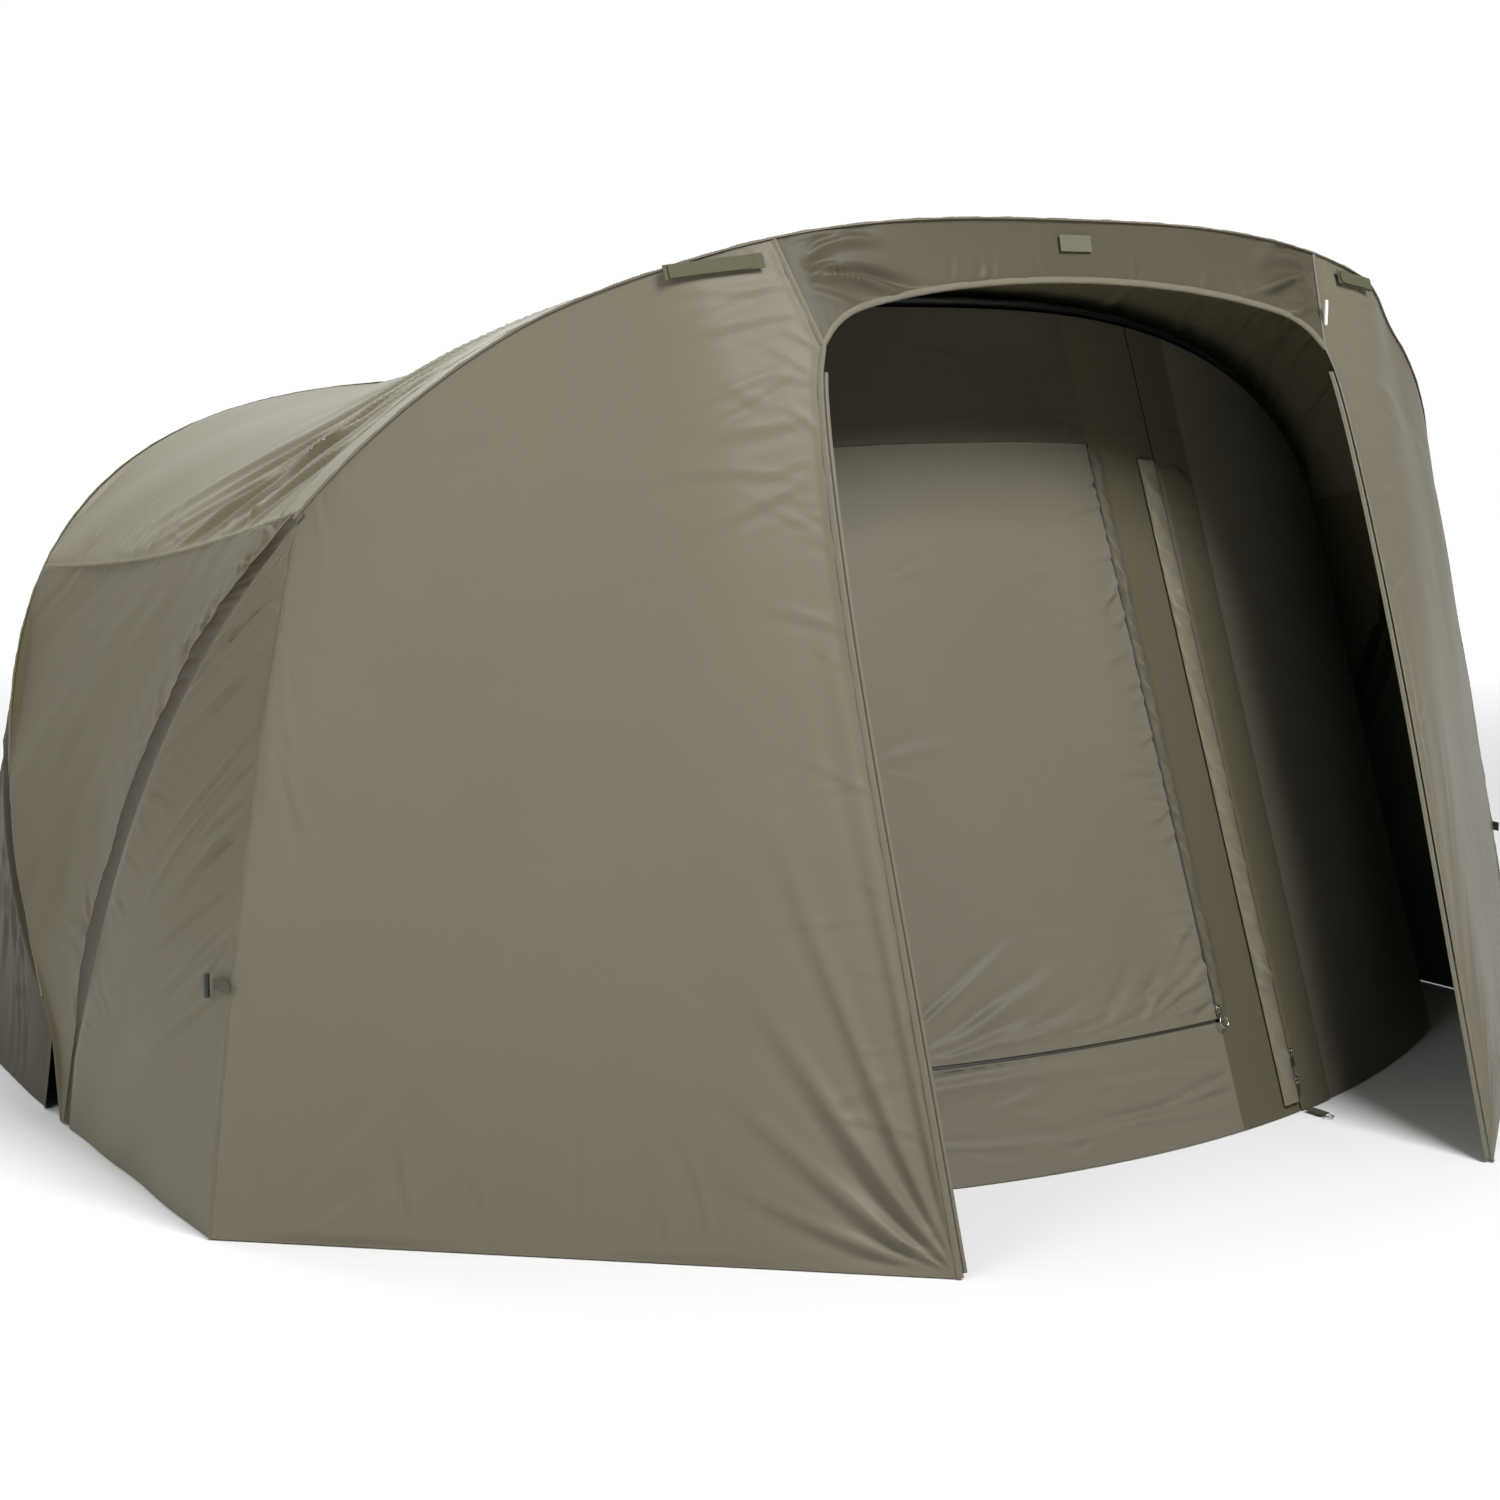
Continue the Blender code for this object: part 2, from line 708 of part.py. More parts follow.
def strap_frame(side):
    turn = Matrix.Rotation(STRAP_TURN * -side, 4, "Z")
    return front_frame(STRAP_U, STRAP_V, 0.0045, side) @ turn


def strap_base(name, side, length, look):
    """The webbing patch that is sewn along the crest."""
    pad = box(name, (-length / 2, -0.0125, 0.0), (length / 2, 0.0125, 0.0018), look)
    pad.data.transform(strap_frame(side))
    return pad


def strap_tab(name, side, length, look):
    """The loose webbing end, folded over and stitched into a rounded tip."""
    outer = side * length / 2
    low = min(outer, outer - side * length * 0.86)
    high = max(outer, outer - side * length * 0.86)
    tab = box(name, (low, -0.0110, 0.0024), (high, 0.0110, 0.0046), look)
    tip_x = outer - side * length * 0.86
    tip = cylinder("tip", (tip_x, 0.0, 0.0035), 0.0110, 0.0022, (0, 0, 1), look, 20)
    joined(tab, tip)
    tab.data.transform(strap_frame(side))
    return tab


def header_patch(look):
    """A plain rectangular patch in the middle of the door header."""
    crest = arc_point(FRONT_LINE, 90)
    arch = door_arch(0.5)
    centre = mixed(arch, crest, 0.60)
    up = (crest - arch).normalized()
    out = Vector((1, 0, 0)).cross(up).normalized()
    patch_box = box("header_patch", (-0.033, -0.014, 0.0), (0.033, 0.014, 0.0015), look)
    frame = Matrix((
        (1, up.x, out.x, 0),
        (0, up.y, out.y, 0),
        (0, up.z, out.z, 0),
        (0, 0, 0, 1),
    ))
    frame.translation = centre + out * 0.0035
    patch_box.data.transform(frame)
    return patch_box


def porch_puller(look):
    """The short cord puller that hangs from the porch zip at the door's top right corner."""
    top = mixed(door_arch(1.0), arc_point(FRONT_LINE, 180 - SEAM_TURN), PULLER_RISE)
    top += Vector((-0.010, -PULLER_STAND, 0.0))
    low = top + Vector((0.0, 0.0, -0.046))
    along = (low - top).normalized()
    body = cylinder("porch_puller", (top + low) / 2, 0.0035, (low - top).length, along, look, 14)
    return rounded(body, 0.0012, 2)


def side_tab(name, side, look):
    """A webbing loop on the gusset that a toggle goes through."""
    seam = gusset_seam(TAB_V)
    back = Vector((-FRONT_LINE[0], HUB_Y - 0.04, 0.38))
    along = (back - seam).normalized()
    out = Vector((-1, 0, 0))
    out = (out - along * out.dot(along)).normalized()
    up = along.cross(out).normalized()
    if up.z < 0:
        up = -up
    frame = Matrix((
        (along.x, up.x, out.x, 0),
        (along.y, up.y, out.y, 0),
        (along.z, up.z, out.z, 0),
        (0, 0, 0, 1),
    ))
    frame.translation = seam + out * 0.0075 - along * 0.010
    strap = box(name, (0.0, -0.009, 0.0), (0.055, 0.009, 0.0018), look)
    strap.data.transform(frame)
    facing_out(strap)
    if side > 0:
        strap.data.transform(Matrix.Diagonal((-1, 1, 1, 1)))
        strap.data.flip_normals()
    return strap


def side_toggle(name, side, look):
    """A short turned toggle that hangs from the end of the side tab."""
    seam = gusset_seam(TAB_V)
    back = Vector((-FRONT_LINE[0], HUB_Y - 0.04, 0.38))
    along = (back - seam).normalized()
    centre = seam + along * 0.054 + Vector((-0.0165, 0.0, -0.004))
    body = cylinder(name, (0, 0, 0), 0.0050, 0.040, (0, 0, 1), look, 14)
    rounded(body, 0.0015, 2)
    body.data.transform(Matrix.Translation(centre))
    if side > 0:
        body.data.transform(Matrix.Diagonal((-1, 1, 1, 1)))
        body.data.flip_normals()
    return body


def peg_tab(look):
    """The webbing loop at the foot of the main zip, for a ground peg."""
    foot = wall_point(0.440, 0.0, 0.006)
    tab = box("peg_tab", (foot.x - 0.011, foot.y - 0.046, 0.0030), (foot.x + 0.011, foot.y - 0.006, 0.0050), look)
    return tab


def peg_ring(look):
    foot = wall_point(0.440, 0.0, 0.006)
    return ring("peg_ring", (foot.x, foot.y - 0.0575, 0.0042), (0, 0, 1), 0.0090, 0.0014, look)


def ring_puller(look):
    """The steel ring that hangs from the inner door's slider."""
    frame = wall_frame(DOOR_ZIP_U, SILL_V + 0.006, 0.0155)
    centre = frame.translation
    down = Vector((0, 0, -1))
    out = Vector((frame[0][2], frame[1][2], frame[2][2]))
    return ring("door_ring_puller", centre + down * 0.0150 + out * 0.0005, out, 0.0105, 0.0013, look)


def build():
    clear_scene()
    olive = material("coated_nylon_olive", (0.235, 0.215, 0.150), 0.55)
    pale = material("coated_nylon_band", (0.300, 0.285, 0.215), 0.50)
    dark = material("coated_nylon_shaded", (0.120, 0.110, 0.080), 0.62)
    inner = material("inner_nylon", (0.150, 0.140, 0.110), 0.60)
    floor = material("floor_sheet", (0.060, 0.062, 0.055), 0.70)
    webbing = material("webbing_pale", (0.330, 0.340, 0.215), 0.80)
    tape = material("webbing_dark", (0.100, 0.098, 0.070), 0.85)
    coil = material("zip_coil", (0.030, 0.030, 0.026), 0.50)
    steel = material("bright_steel", (0.560, 0.560, 0.540), 0.25, 1.0)
    alloy = material("anodised_tube", (0.070, 0.072, 0.068), 0.40, 0.9)
    moulded = material("moulded_nylon", (0.030, 0.030, 0.028), 0.45)
    white_cord = material("white_cord", (0.720, 0.720, 0.660), 0.60)
    label = material("blank_patch", (0.130, 0.130, 0.090), 0.55)

    for line, name in ((FRONT_RIB, "front"), (MIDDLE_RIB, "middle"), (REAR_RIB, "rear")):
        rib_crown(f"{name}_rib_crown", line, alloy)
        rib_leg(f"{name}_rib_leg_left", line, -1, alloy)
        rib_leg(f"{name}_rib_leg_right", line, 1, alloy)
    for side, word in ((-1, "left"), (1, "right")):
        hub(f"hub_block_{word}", side, moulded)
        hub_pin(f"hub_pin_{word}", side, steel)
        front_panel(f"wrap_front_{word}", side, olive)
        gusset(f"wrap_gusset_{word}", side, olive)
        rib_sleeve(f"rib_sleeve_{word}", side, dark)
        side_panel(f"side_panel_{word}", side, olive)
        inner_side(f"inner_side_{word}", side, inner)
        door_bead(f"porch_zip_{word}", side, coil)
        side_tab(f"side_tab_{word}", side, tape)
        side_toggle(f"side_toggle_{word}", side, moulded)
    strap_base("strap_base_left", -1, 0.165, webbing)
    strap_tab("strap_tab_left", -1, 0.150, webbing)
    strap_base("strap_base_right", 1, 0.110, webbing)
    strap_tab("strap_tab_right", 1, 0.110, webbing)
    crown_band(pale)
    roof(olive)
    door_header(olive)
    split = APEX_TURN + 1.5
    rear_panel("rear_panel_left", 1.5, split, 10, dark)
    rear_panel("rear_panel_centre", split + 0.25, 180 - split - 0.25, 21, dark)
    rear_panel("rear_panel_right", 180 - split, 178.5, 10, dark)
    groundsheet(floor)

    cloth("inner_wall_left", wall_grid(-1.0, HINGE_U, SILL_V + 0.003, LINTEL_V - 0.003, 8, 9), inner)
    cloth("inner_door", wall_grid(HINGE_U, DOOR_ZIP_U - 0.004, SILL_V + 0.003, LINTEL_V - 0.003, 9, 9), inner)
    cloth("inner_skirt", wall_grid(-1.0, DOOR_ZIP_U - 0.002, 0.0, SILL_V - 0.003, 15, 3), inner)
    cloth("inner_header", wall_grid(-1.0, DOOR_ZIP_U - 0.002, LINTEL_V, 0.995, 15, 4), inner)
    cloth("inner_strip", wall_grid(DOOR_ZIP_U + 0.002, MAIN_ZIP_U - 0.002, 0.0, 0.995, 3, 11), inner)
    cloth("inner_facing", wall_grid(MAIN_ZIP_U + 0.002, FACING_U, 0.0, 0.995, 3, 11), inner)
    cloth("inner_wall_right", wall_grid(FACING_U, 1.0, 0.0, 0.995, 9, 11), inner)
    cloth("storm_flap", wall_grid(FLAP_U, MAIN_ZIP_U - 0.004, 0.012, 0.815, 3, 11, 0.0050), inner)
    wall_zip("door_zip", DOOR_ZIP_U, SILL_V + 0.002, LINTEL_V - 0.004, coil)
    sill_zip(coil)
    wall_zip("main_zip", MAIN_ZIP_U, 0.010, 0.815, coil)
    zip_slider("door_zip_slider", DOOR_ZIP_U, SILL_V + 0.012, steel)
    ring_puller(steel)
    zip_slider("main_zip_slider_upper", MAIN_ZIP_U, 0.070, steel)
    zip_slider("main_zip_slider_lower", MAIN_ZIP_U, 0.036, steel)
    header_patch(label)
    porch_puller(white_cord)
    peg_tab(tape)
    peg_ring(steel)


build()
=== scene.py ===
import math
import bpy
import numpy as np
from mathutils import Matrix, Vector


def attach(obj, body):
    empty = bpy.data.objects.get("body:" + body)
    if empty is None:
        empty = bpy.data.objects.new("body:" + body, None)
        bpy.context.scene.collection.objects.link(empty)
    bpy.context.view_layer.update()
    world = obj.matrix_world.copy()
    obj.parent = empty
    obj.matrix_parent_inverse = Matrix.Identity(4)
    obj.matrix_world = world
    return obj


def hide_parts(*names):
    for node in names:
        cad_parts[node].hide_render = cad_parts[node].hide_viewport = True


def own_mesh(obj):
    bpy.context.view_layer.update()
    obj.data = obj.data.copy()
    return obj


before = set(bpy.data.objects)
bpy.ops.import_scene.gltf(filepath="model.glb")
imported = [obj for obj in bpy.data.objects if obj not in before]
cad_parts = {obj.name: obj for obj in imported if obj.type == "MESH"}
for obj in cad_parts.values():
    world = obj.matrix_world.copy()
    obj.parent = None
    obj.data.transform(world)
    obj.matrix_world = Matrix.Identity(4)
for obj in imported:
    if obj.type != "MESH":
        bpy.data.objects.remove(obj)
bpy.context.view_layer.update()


# Ground hubs. Each is one moulded nylon block with four cheeks; a steel pin with a domed head
# runs through the cheeks and the three rib eyes, and every rib turns on it.
HUB_Y = -0.126
HUB_Z = 0.030


def shader_of(name, colour, roughness, metallic=0.0):
    """A new material with its Principled shader set up, ready for texture nodes."""
    made = bpy.data.materials.new(name)
    made.use_nodes = True
    shader = made.node_tree.nodes["Principled BSDF"]
    shader.inputs["Base Color"].default_value = (*colour, 1.0)
    shader.inputs["Roughness"].default_value = roughness
    shader.inputs["Metallic"].default_value = metallic
    made.diffuse_color = (*colour, 1.0)
    return made, made.node_tree.nodes, made.node_tree.links, shader


def grained(name, colour, roughness, metallic, size, depth):
    """A hard material with a fine cast or brushed grain."""
    made, nodes, links, shader = shader_of(name, colour, roughness, metallic)
    place = nodes.new("ShaderNodeTexCoord")
    noise = nodes.new("ShaderNodeTexNoise")
    noise.inputs["Scale"].default_value = size
    noise.inputs["Detail"].default_value = 4.0
    links.new(place.outputs["Object"], noise.inputs["Vector"])
    bump = nodes.new("ShaderNodeBump")
    bump.inputs["Strength"].default_value = 0.35
    bump.inputs["Distance"].default_value = depth
    links.new(noise.outputs["Fac"], bump.inputs["Height"])
    links.new(bump.outputs["Normal"], shader.inputs["Normal"])
    spread = nodes.new("ShaderNodeMapRange")
    spread.inputs["To Min"].default_value = max(roughness - 0.08, 0.05)
    spread.inputs["To Max"].default_value = roughness + 0.10
    links.new(noise.outputs["Fac"], spread.inputs["Value"])
    links.new(spread.outputs["Result"], shader.inputs["Roughness"])
    return made


def dress(node, look, angle=40.0):
    """Show a hard CAD node as it is, with its material and smooth round faces."""
    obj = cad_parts[node]
    obj.data.materials.clear()
    obj.data.materials.append(look)
    obj.data.polygons.foreach_set("use_smooth", [True] * len(obj.data.polygons))
    obj.data.set_sharp_from_angle(angle=math.radians(angle))
    return obj


moulded = grained("moulded nylon", (0.022, 0.022, 0.020), 0.48, 0.0, 600.0, 0.0003)
steel = grained("bright steel", (0.62, 0.61, 0.58), 0.24, 1.0, 900.0, 0.0001)
for word in ("left", "right"):
    dress(f"hub_block_{word}", moulded)
    dress(f"hub_pin_{word}", steel)


# Ribs. Front, middle and rear arches of dark anodised 16 mm aluminium tube, each a crown whose
# ends slide into the swaged tops of two legs; each leg ends in an eye on the hub pin.
alloy = grained("anodised tube", (0.060, 0.062, 0.058), 0.38, 0.9, 350.0, 0.0002)
for rib in ("front", "middle", "rear"):
    for part in ("crown", "leg_left", "leg_right"):
        dress(f"{rib}_rib_{part}", alloy, 50.0)


# Inner front wall. One thin coated-nylon wall on the middle rib, cut into sewn panels: plain
# panels left and right, a zipped door, a skirt under it and a header over it.
WALL = (1.380, 1.560, 2.70, 112.0, 0.0)
WALL_HALF = 1.17
WALL_TOP_HALF = 1.12
WALL_FRONT = -1.315
WALL_BOW = 0.29
HINGE_U = -0.450
DOOR_ZIP_U = 0.280
FLAP_U = 0.385
MAIN_ZIP_U = 0.432
FACING_U = 0.520
SILL_V = 0.128
LINTEL_V = 0.830
CLOTH_THICK = 0.0010
GROUND_Z = 0.002
RIB_OFFSET = 0.014
FOOT_TURN = 1.5


def eased(share):
    """A smooth step from 0 to 1 as the share goes from 0 to 1."""
    share = np.clip(share, 0.0, 1.0)
    return share * share * (3 - 2 * share)


def arch(line, turn, forward=0.0):
    """Points on a rib line (half width, reach, roundness, tilt, bow); turn is 0 to 180 degrees."""
    half, reach, power, tilt, bow = line
    angle = np.radians(turn)
    along = np.cos(angle)
    x = -np.sign(along) * half * np.abs(along) ** (2 / power)
    s = reach * np.abs(np.sin(angle)) ** (2 / power)
    lean = math.radians(tilt)
    y = HUB_Y + s * math.cos(lean) - forward * math.sin(lean)
    z = HUB_Z + s * math.sin(lean) + forward * math.cos(lean)
    y = y + bow * eased((np.abs(x) - 0.70) / 0.25) * eased(s / reach / 0.65)
    return np.stack(np.broadcast_arrays(x, y, z), -1)


def wall(u, v):
    """Points of the inner wall: u from -1 to 1 across, v from the ground to the middle rib."""
    x = WALL_HALF * u
    low = np.stack(np.broadcast_arrays(x, WALL_FRONT + WALL_BOW * x * x, GROUND_Z), -1)
    half, reach, power, tilt, _ = WALL
    wide = WALL_TOP_HALF * u
    s = reach * (1 - np.abs(wide / half) ** power) ** (1 / power)
    lean = math.radians(tilt)
    y = HUB_Y + s * math.cos(lean) - RIB_OFFSET * math.sin(lean)
    z = HUB_Z + s * math.sin(lean) + RIB_OFFSET * math.cos(lean)
    high = np.stack(np.broadcast_arrays(wide, y, z), -1)
    v = np.asarray(v)[..., None]
    return low * (1 - v) + high * v


def wander(x, seed, pitch=1.0):
    """Smooth uneven values between about -1 and 1 along x, changing over the pitch."""
    dice = np.random.default_rng(seed)
    total = np.zeros_like(np.asarray(x, float))
    for k in range(5):
        rate = 2 * np.pi / pitch * 1.83 ** k * 0.5
        total = total + 0.62 ** k * np.sin(x * rate + dice.uniform(0, 6.28))
    return total / 1.9


def billow(s, t, seed, size):
    """Soft uneven swells over a panel, of about the given size."""
    dice = np.random.default_rng(seed)
    total = 0.0
    for _ in range(9):
        heading = dice.uniform(0, np.pi)
        wave = size * dice.uniform(0.6, 1.7)
        ahead = s * np.cos(heading) + t * np.sin(heading)
        total = total + np.sin(ahead * 2 * np.pi / wave + dice.uniform(0, 6.28))
    return total / 4.5


def fold(phase):
    """A rounded fold profile, a little sharper on its crests than in its troughs."""
    wave = 0.5 + 0.5 * np.cos(phase)
    return wave ** 1.6 - 0.36


def fan(s, t, s0, t0, low, high, folds, reach, depth, seed):
    """Folds that spread from a pulled point, between two headings in degrees."""
    r = np.hypot(s - s0, t - t0) + 1e-6
    heading = np.degrees(np.arctan2(t - t0, s - s0)) % 360
    share = (heading - low) / (high - low)
    inside = eased(share * 4) * eased((1 - share) * 4) * (share > 0) * (share < 1)
    phase = share * folds * 2 * np.pi + 1.3 * wander(share, seed + 1, 0.9)
    uneven = 0.62 + 0.38 * wander(share, seed + 2, 0.35)
    fade = 0.75 + 0.25 * wander(share, seed + 3, 0.22)
    return depth * fold(phase) * inside * uneven * (r / reach) * np.exp(1 - r / (reach * fade))


def crease(s, t, start, heading, length, width, depth, bend=0.0):
    """One long soft crease: a ridge with a shallow trough beside it, tapering at both ends."""
    turn = math.radians(heading)
    ahead = (s - start[0]) * math.cos(turn) + (t - start[1]) * math.sin(turn)
    aside = (t - start[1]) * math.cos(turn) - (s - start[0]) * math.sin(turn)
    run = ahead / length
    inside = (run > 0) * (run < 1)
    taper = np.sin(np.pi * np.clip(run, 0, 1) ** 0.7) ** 1.2
    away = (aside - bend * 4 * run * (1 - run)) / (width * (0.55 + 0.9 * np.clip(run, 0, 1)))
    shape = np.exp(-away ** 2) - 0.75 * np.exp(-(away - 1.7) ** 2 / 1.6)
    return depth * shape * taper * inside


def creases(s, t, seed, count, place, heading, length, width, depth):
    """A scatter of creases: place gives the start for a random share, the rest are ranges."""
    dice = np.random.default_rng(seed)
    total = np.zeros_like(s)
    for _ in range(count):
        start = place(dice.uniform(0, 1), dice.uniform(0, 1))
        turn = dice.uniform(*heading)
        long = dice.uniform(*length)
        wide = dice.uniform(*width)
        deep = dice.uniform(0.4, 1.0) * depth
        total = total + crease(s, t, start, turn, long, wide, deep, dice.uniform(-0.06, 0.06) * long)
    return total


def puckers(away, along, pitch, reach, depth, seed):
    """Short gathers square to a seam, dying out away from it."""
    phase = along * 2 * np.pi / pitch + 1.7 * wander(along, seed, pitch * 4)
    slant = 0.35 * wander(along, seed + 3, pitch * 9) * away / reach * 3
    uneven = 0.55 + 0.45 * wander(along, seed + 1, pitch * 6)
    length = reach * (1.0 + 0.6 * wander(along, seed + 2, pitch * 3))
    fade = np.exp(-away / np.maximum(length, 0.2 * reach)) * eased(away / 0.008)
    return depth * fold(phase + slant) * uneven * fade


def lengths(points):
    """Distance run along each row and each column of a grid of points."""
    across = np.linalg.norm(np.diff(points, axis=1), axis=2)
    upward = np.linalg.norm(np.diff(points, axis=0), axis=2)
    s = np.concatenate([np.zeros((points.shape[0], 1)), np.cumsum(across, 1)], 1)
    t = np.concatenate([np.zeros((1, points.shape[1])), np.cumsum(upward, 0)], 0)
    return s, t


def outward(points, centre):
    """Unit normals of a grid of points, facing away from the centre."""
    du = np.gradient(points, axis=1)
    dv = np.gradient(points, axis=0)
    normal = np.cross(du, dv)
    normal = normal / (np.linalg.norm(normal, axis=2, keepdims=True) + 1e-12)
    if (normal * (points - np.asarray(centre))).sum() < 0:
        normal = -normal
    return normal


def shell(name, outer, inner, s, t, look):
    """A closed thin mesh between two grids of points, with its lengths in metres as UVs."""
    rows, columns = outer.shape[:2]
    count = rows * columns
    points = np.concatenate([outer.reshape(-1, 3), inner.reshape(-1, 3)])
    index = np.arange(count).reshape(rows, columns)
    a = index[:-1, :-1].ravel()
    b = index[:-1, 1:].ravel()
    c = index[1:, 1:].ravel()
    d = index[1:, :-1].ravel()
    quads = [np.stack([a, b, c, d], 1), np.stack([a, d, c, b], 1) + count]
    rim = np.concatenate([index[0, :-1], index[:-1, -1], index[-1, :0:-1], index[:0:-1, 0]])
    after = np.roll(rim, -1)
    quads.append(np.stack([after, rim, rim + count, after + count], 1))
    quads = np.concatenate(quads)
    side = points[quads[:, 1]] - points[quads[:, 0]]
    rise = points[quads[:, 2]] - points[quads[:, 0]]
    volume = (np.cross(side, rise) * points[quads[:, 0]]).sum()
    lean = points[quads[:, 3]] - points[quads[:, 0]]
    volume += (np.cross(rise, lean) * points[quads[:, 0]]).sum()
    if volume < 0:
        quads = quads[:, ::-1]
    mesh = bpy.data.meshes.new(name)
    mesh.from_pydata(points.tolist(), [], quads.tolist())
    flat = np.concatenate([np.stack([s.ravel(), t.ravel()], 1)] * 2)
    layer = mesh.uv_layers.new(name="UVMap")
    layer.data.foreach_set("uv", flat[quads.ravel()].astype(np.float32).ravel())
    mesh.polygons.foreach_set("use_smooth", [True] * len(mesh.polygons))
    mesh.set_sharp_from_angle(angle=math.radians(60))
    mesh.materials.append(look)
    obj = bpy.data.objects.new(name, mesh)
    bpy.context.scene.collection.objects.link(obj)
    return obj


def cloth(name, points, look, relief=None):
    """A cloth panel from a grid of points, with folds pushed along its outward side."""
    centre = (0.0, 0.0, 0.5)
    s, t = lengths(points)
    if relief is not None:
        points = points + outward(points, centre) * relief(s, t)[..., None]
    normal = outward(points, centre)
    obj = shell(name, points, points - normal * CLOTH_THICK, s, t, look)
    corner = points[:-1, :-1]
    face = np.cross(points[:-1, 1:] - corner, points[1:, :-1] - corner)
    area = float(np.linalg.norm(face, axis=2).sum())
    wide = max(float(s[:, -1].max()), 0.011)
    tall = max(float(t[-1].max()), 0.011)
    obj["cut"] = [wide, tall, min(max(area, 0.301 * wide * tall), wide * tall)]
    return obj


def sewn(obj, nodes, body="shelter"):
    """Put the panel in its place in the assembly and hide the CAD nodes it stands for."""
    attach(obj, body)
    if nodes:
        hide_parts(*nodes)
    return obj


def folding(obj):
    """Give the object its own copy of its mesh."""
    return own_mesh(obj)


def nylon(name, colour, roughness, crumpling=1.0, mottle=0.10):
    """Thin coated nylon: faint mottling, soft creases and a fine plain weave."""
    made, nodes, links, shader = shader_of(name, colour, roughness)
    shader.inputs["Specular IOR Level"].default_value = 0.15
    place = nodes.new("ShaderNodeTexCoord")
    patchy = nodes.new("ShaderNodeTexNoise")
    patchy.inputs["Scale"].default_value = 2.6
    patchy.inputs["Detail"].default_value = 6.0
    patchy.inputs["Roughness"].default_value = 0.62
    links.new(place.outputs["Object"], patchy.inputs["Vector"])
    tint = nodes.new("ShaderNodeMix")
    tint.data_type = "RGBA"
    tint.inputs[6].default_value = (*[c * (1 - mottle) for c in colour], 1.0)
    tint.inputs[7].default_value = (*[min(c * (1 + mottle), 1.0) for c in colour], 1.0)
    links.new(patchy.outputs["Fac"], tint.inputs[0])
    links.new(tint.outputs[2], shader.inputs["Base Color"])
    crumple = nodes.new("ShaderNodeTexNoise")
    crumple.inputs["Scale"].default_value = 6.0
    crumple.inputs["Detail"].default_value = 4.0
    crumple.inputs["Roughness"].default_value = 0.55
    crumple.inputs["Distortion"].default_value = 0.7
    links.new(place.outputs["Object"], crumple.inputs["Vector"])
    soft = nodes.new("ShaderNodeBump")
    soft.inputs["Strength"].default_value = 0.16 * crumpling
    soft.inputs["Distance"].default_value = 0.010
    links.new(crumple.outputs["Fac"], soft.inputs["Height"])
    weave = nodes.new("ShaderNodeTexNoise")
    weave.inputs["Scale"].default_value = 750.0
    weave.inputs["Detail"].default_value = 2.0
    links.new(place.outputs["Object"], weave.inputs["Vector"])
    fine = nodes.new("ShaderNodeBump")
    fine.inputs["Strength"].default_value = 0.22
    fine.inputs["Distance"].default_value = 0.0004
    links.new(weave.outputs["Fac"], fine.inputs["Height"])
    links.new(soft.outputs["Normal"], fine.inputs["Normal"])
    links.new(fine.outputs["Normal"], shader.inputs["Normal"])
    return made


def tiled(low_u, high_u, low_v, high_v, columns, rows):
    """A grid over part of the inner wall."""
    u, v = np.meshgrid(np.linspace(low_u, high_u, columns), np.linspace(low_v, high_v, rows))
    return wall(u, v)


inner = nylon("inner nylon", (0.139, 0.127, 0.095), 0.50, 1.0, 0.05)
# Painted highlight: the storm flap's colour is lighter than the wall's, for the light on its puffed lip.
flap_highlight_nylon = nylon("storm flap nylon painted highlight", (0.150, 0.136, 0.096), 0.42, 1.2, 0.06)
# Painted shade: the inner header's colour is much darker than the rest of the wall, for the shade under the
# porch header.
inner_shade = nylon("inner header nylon painted shade", (0.074, 0.066, 0.048), 0.55, 1.0, 0.05)
inner_dark = nylon("inner facing nylon", (0.088, 0.078, 0.050), 0.50, 1.0, 0.06)
GAP = 0.0016


def wall_relief(seed, left=0.0, right=0.0, low=0.0, high=0.0, swell=0.0045, slack=0.0016):
    """Folds of one inner panel: how deep the gathers are at each of its edges."""
    def relief(s, t):
        wide = s[:, -1:]
        tall = t[-1:, :]
        middle = eased(np.minimum(s, wide - s) / 0.10) * eased(np.minimum(t, tall - t) / 0.08)
        depth = swell * billow(s, t, seed, 0.55) * middle
        depth = depth + puckers(s, t, 0.034, 0.050, left, seed + 10)
        depth = depth + puckers(wide - s, t, 0.031, 0.055, right, seed + 20)
        depth = depth + puckers(t, s, 0.040, 0.035, low, seed + 30)
        depth = depth + puckers(tall - t, s, 0.045, 0.040, high, seed + 40)
        loose = lambda a, b: (float(wide.max()) * a, float(tall.max()) * b)
        depth = depth + creases(s, t, seed + 50, 14, loose, (-25, 25), (0.05, 0.20), (0.006, 0.012), slack)
        depth = depth * eased(s / 0.008) * eased((wide - s) / 0.008)
        return depth * eased(t / 0.006) * eased((tall - t) / 0.006)
    return relief


def door_relief(s, t):
    """The door: gathers at both zips and slack folds that run up from the sill's left end."""
    wide = s[:, -1:]
    depth = wall_relief(11, 0.001, 0.0030, 0.0022, 0.002, 0.009, 0.002)(s, t)
    from_sill = lambda a, b: (float(wide.max()) * (0.05 + 0.95 * a), 0.008 + 0.02 * b)
    depth = depth + creases(s, t, 50, 22, from_sill, (4, 50), (0.10, 0.40), (0.007, 0.013), 0.0052)
    from_zip = lambda a, b: (float(wide.max()) - 0.004, float(t.max()) * a)
    depth = depth + creases(s, t, 51, 34, from_zip, (165, 225), (0.04, 0.13), (0.005, 0.009), 0.0036)
    return depth


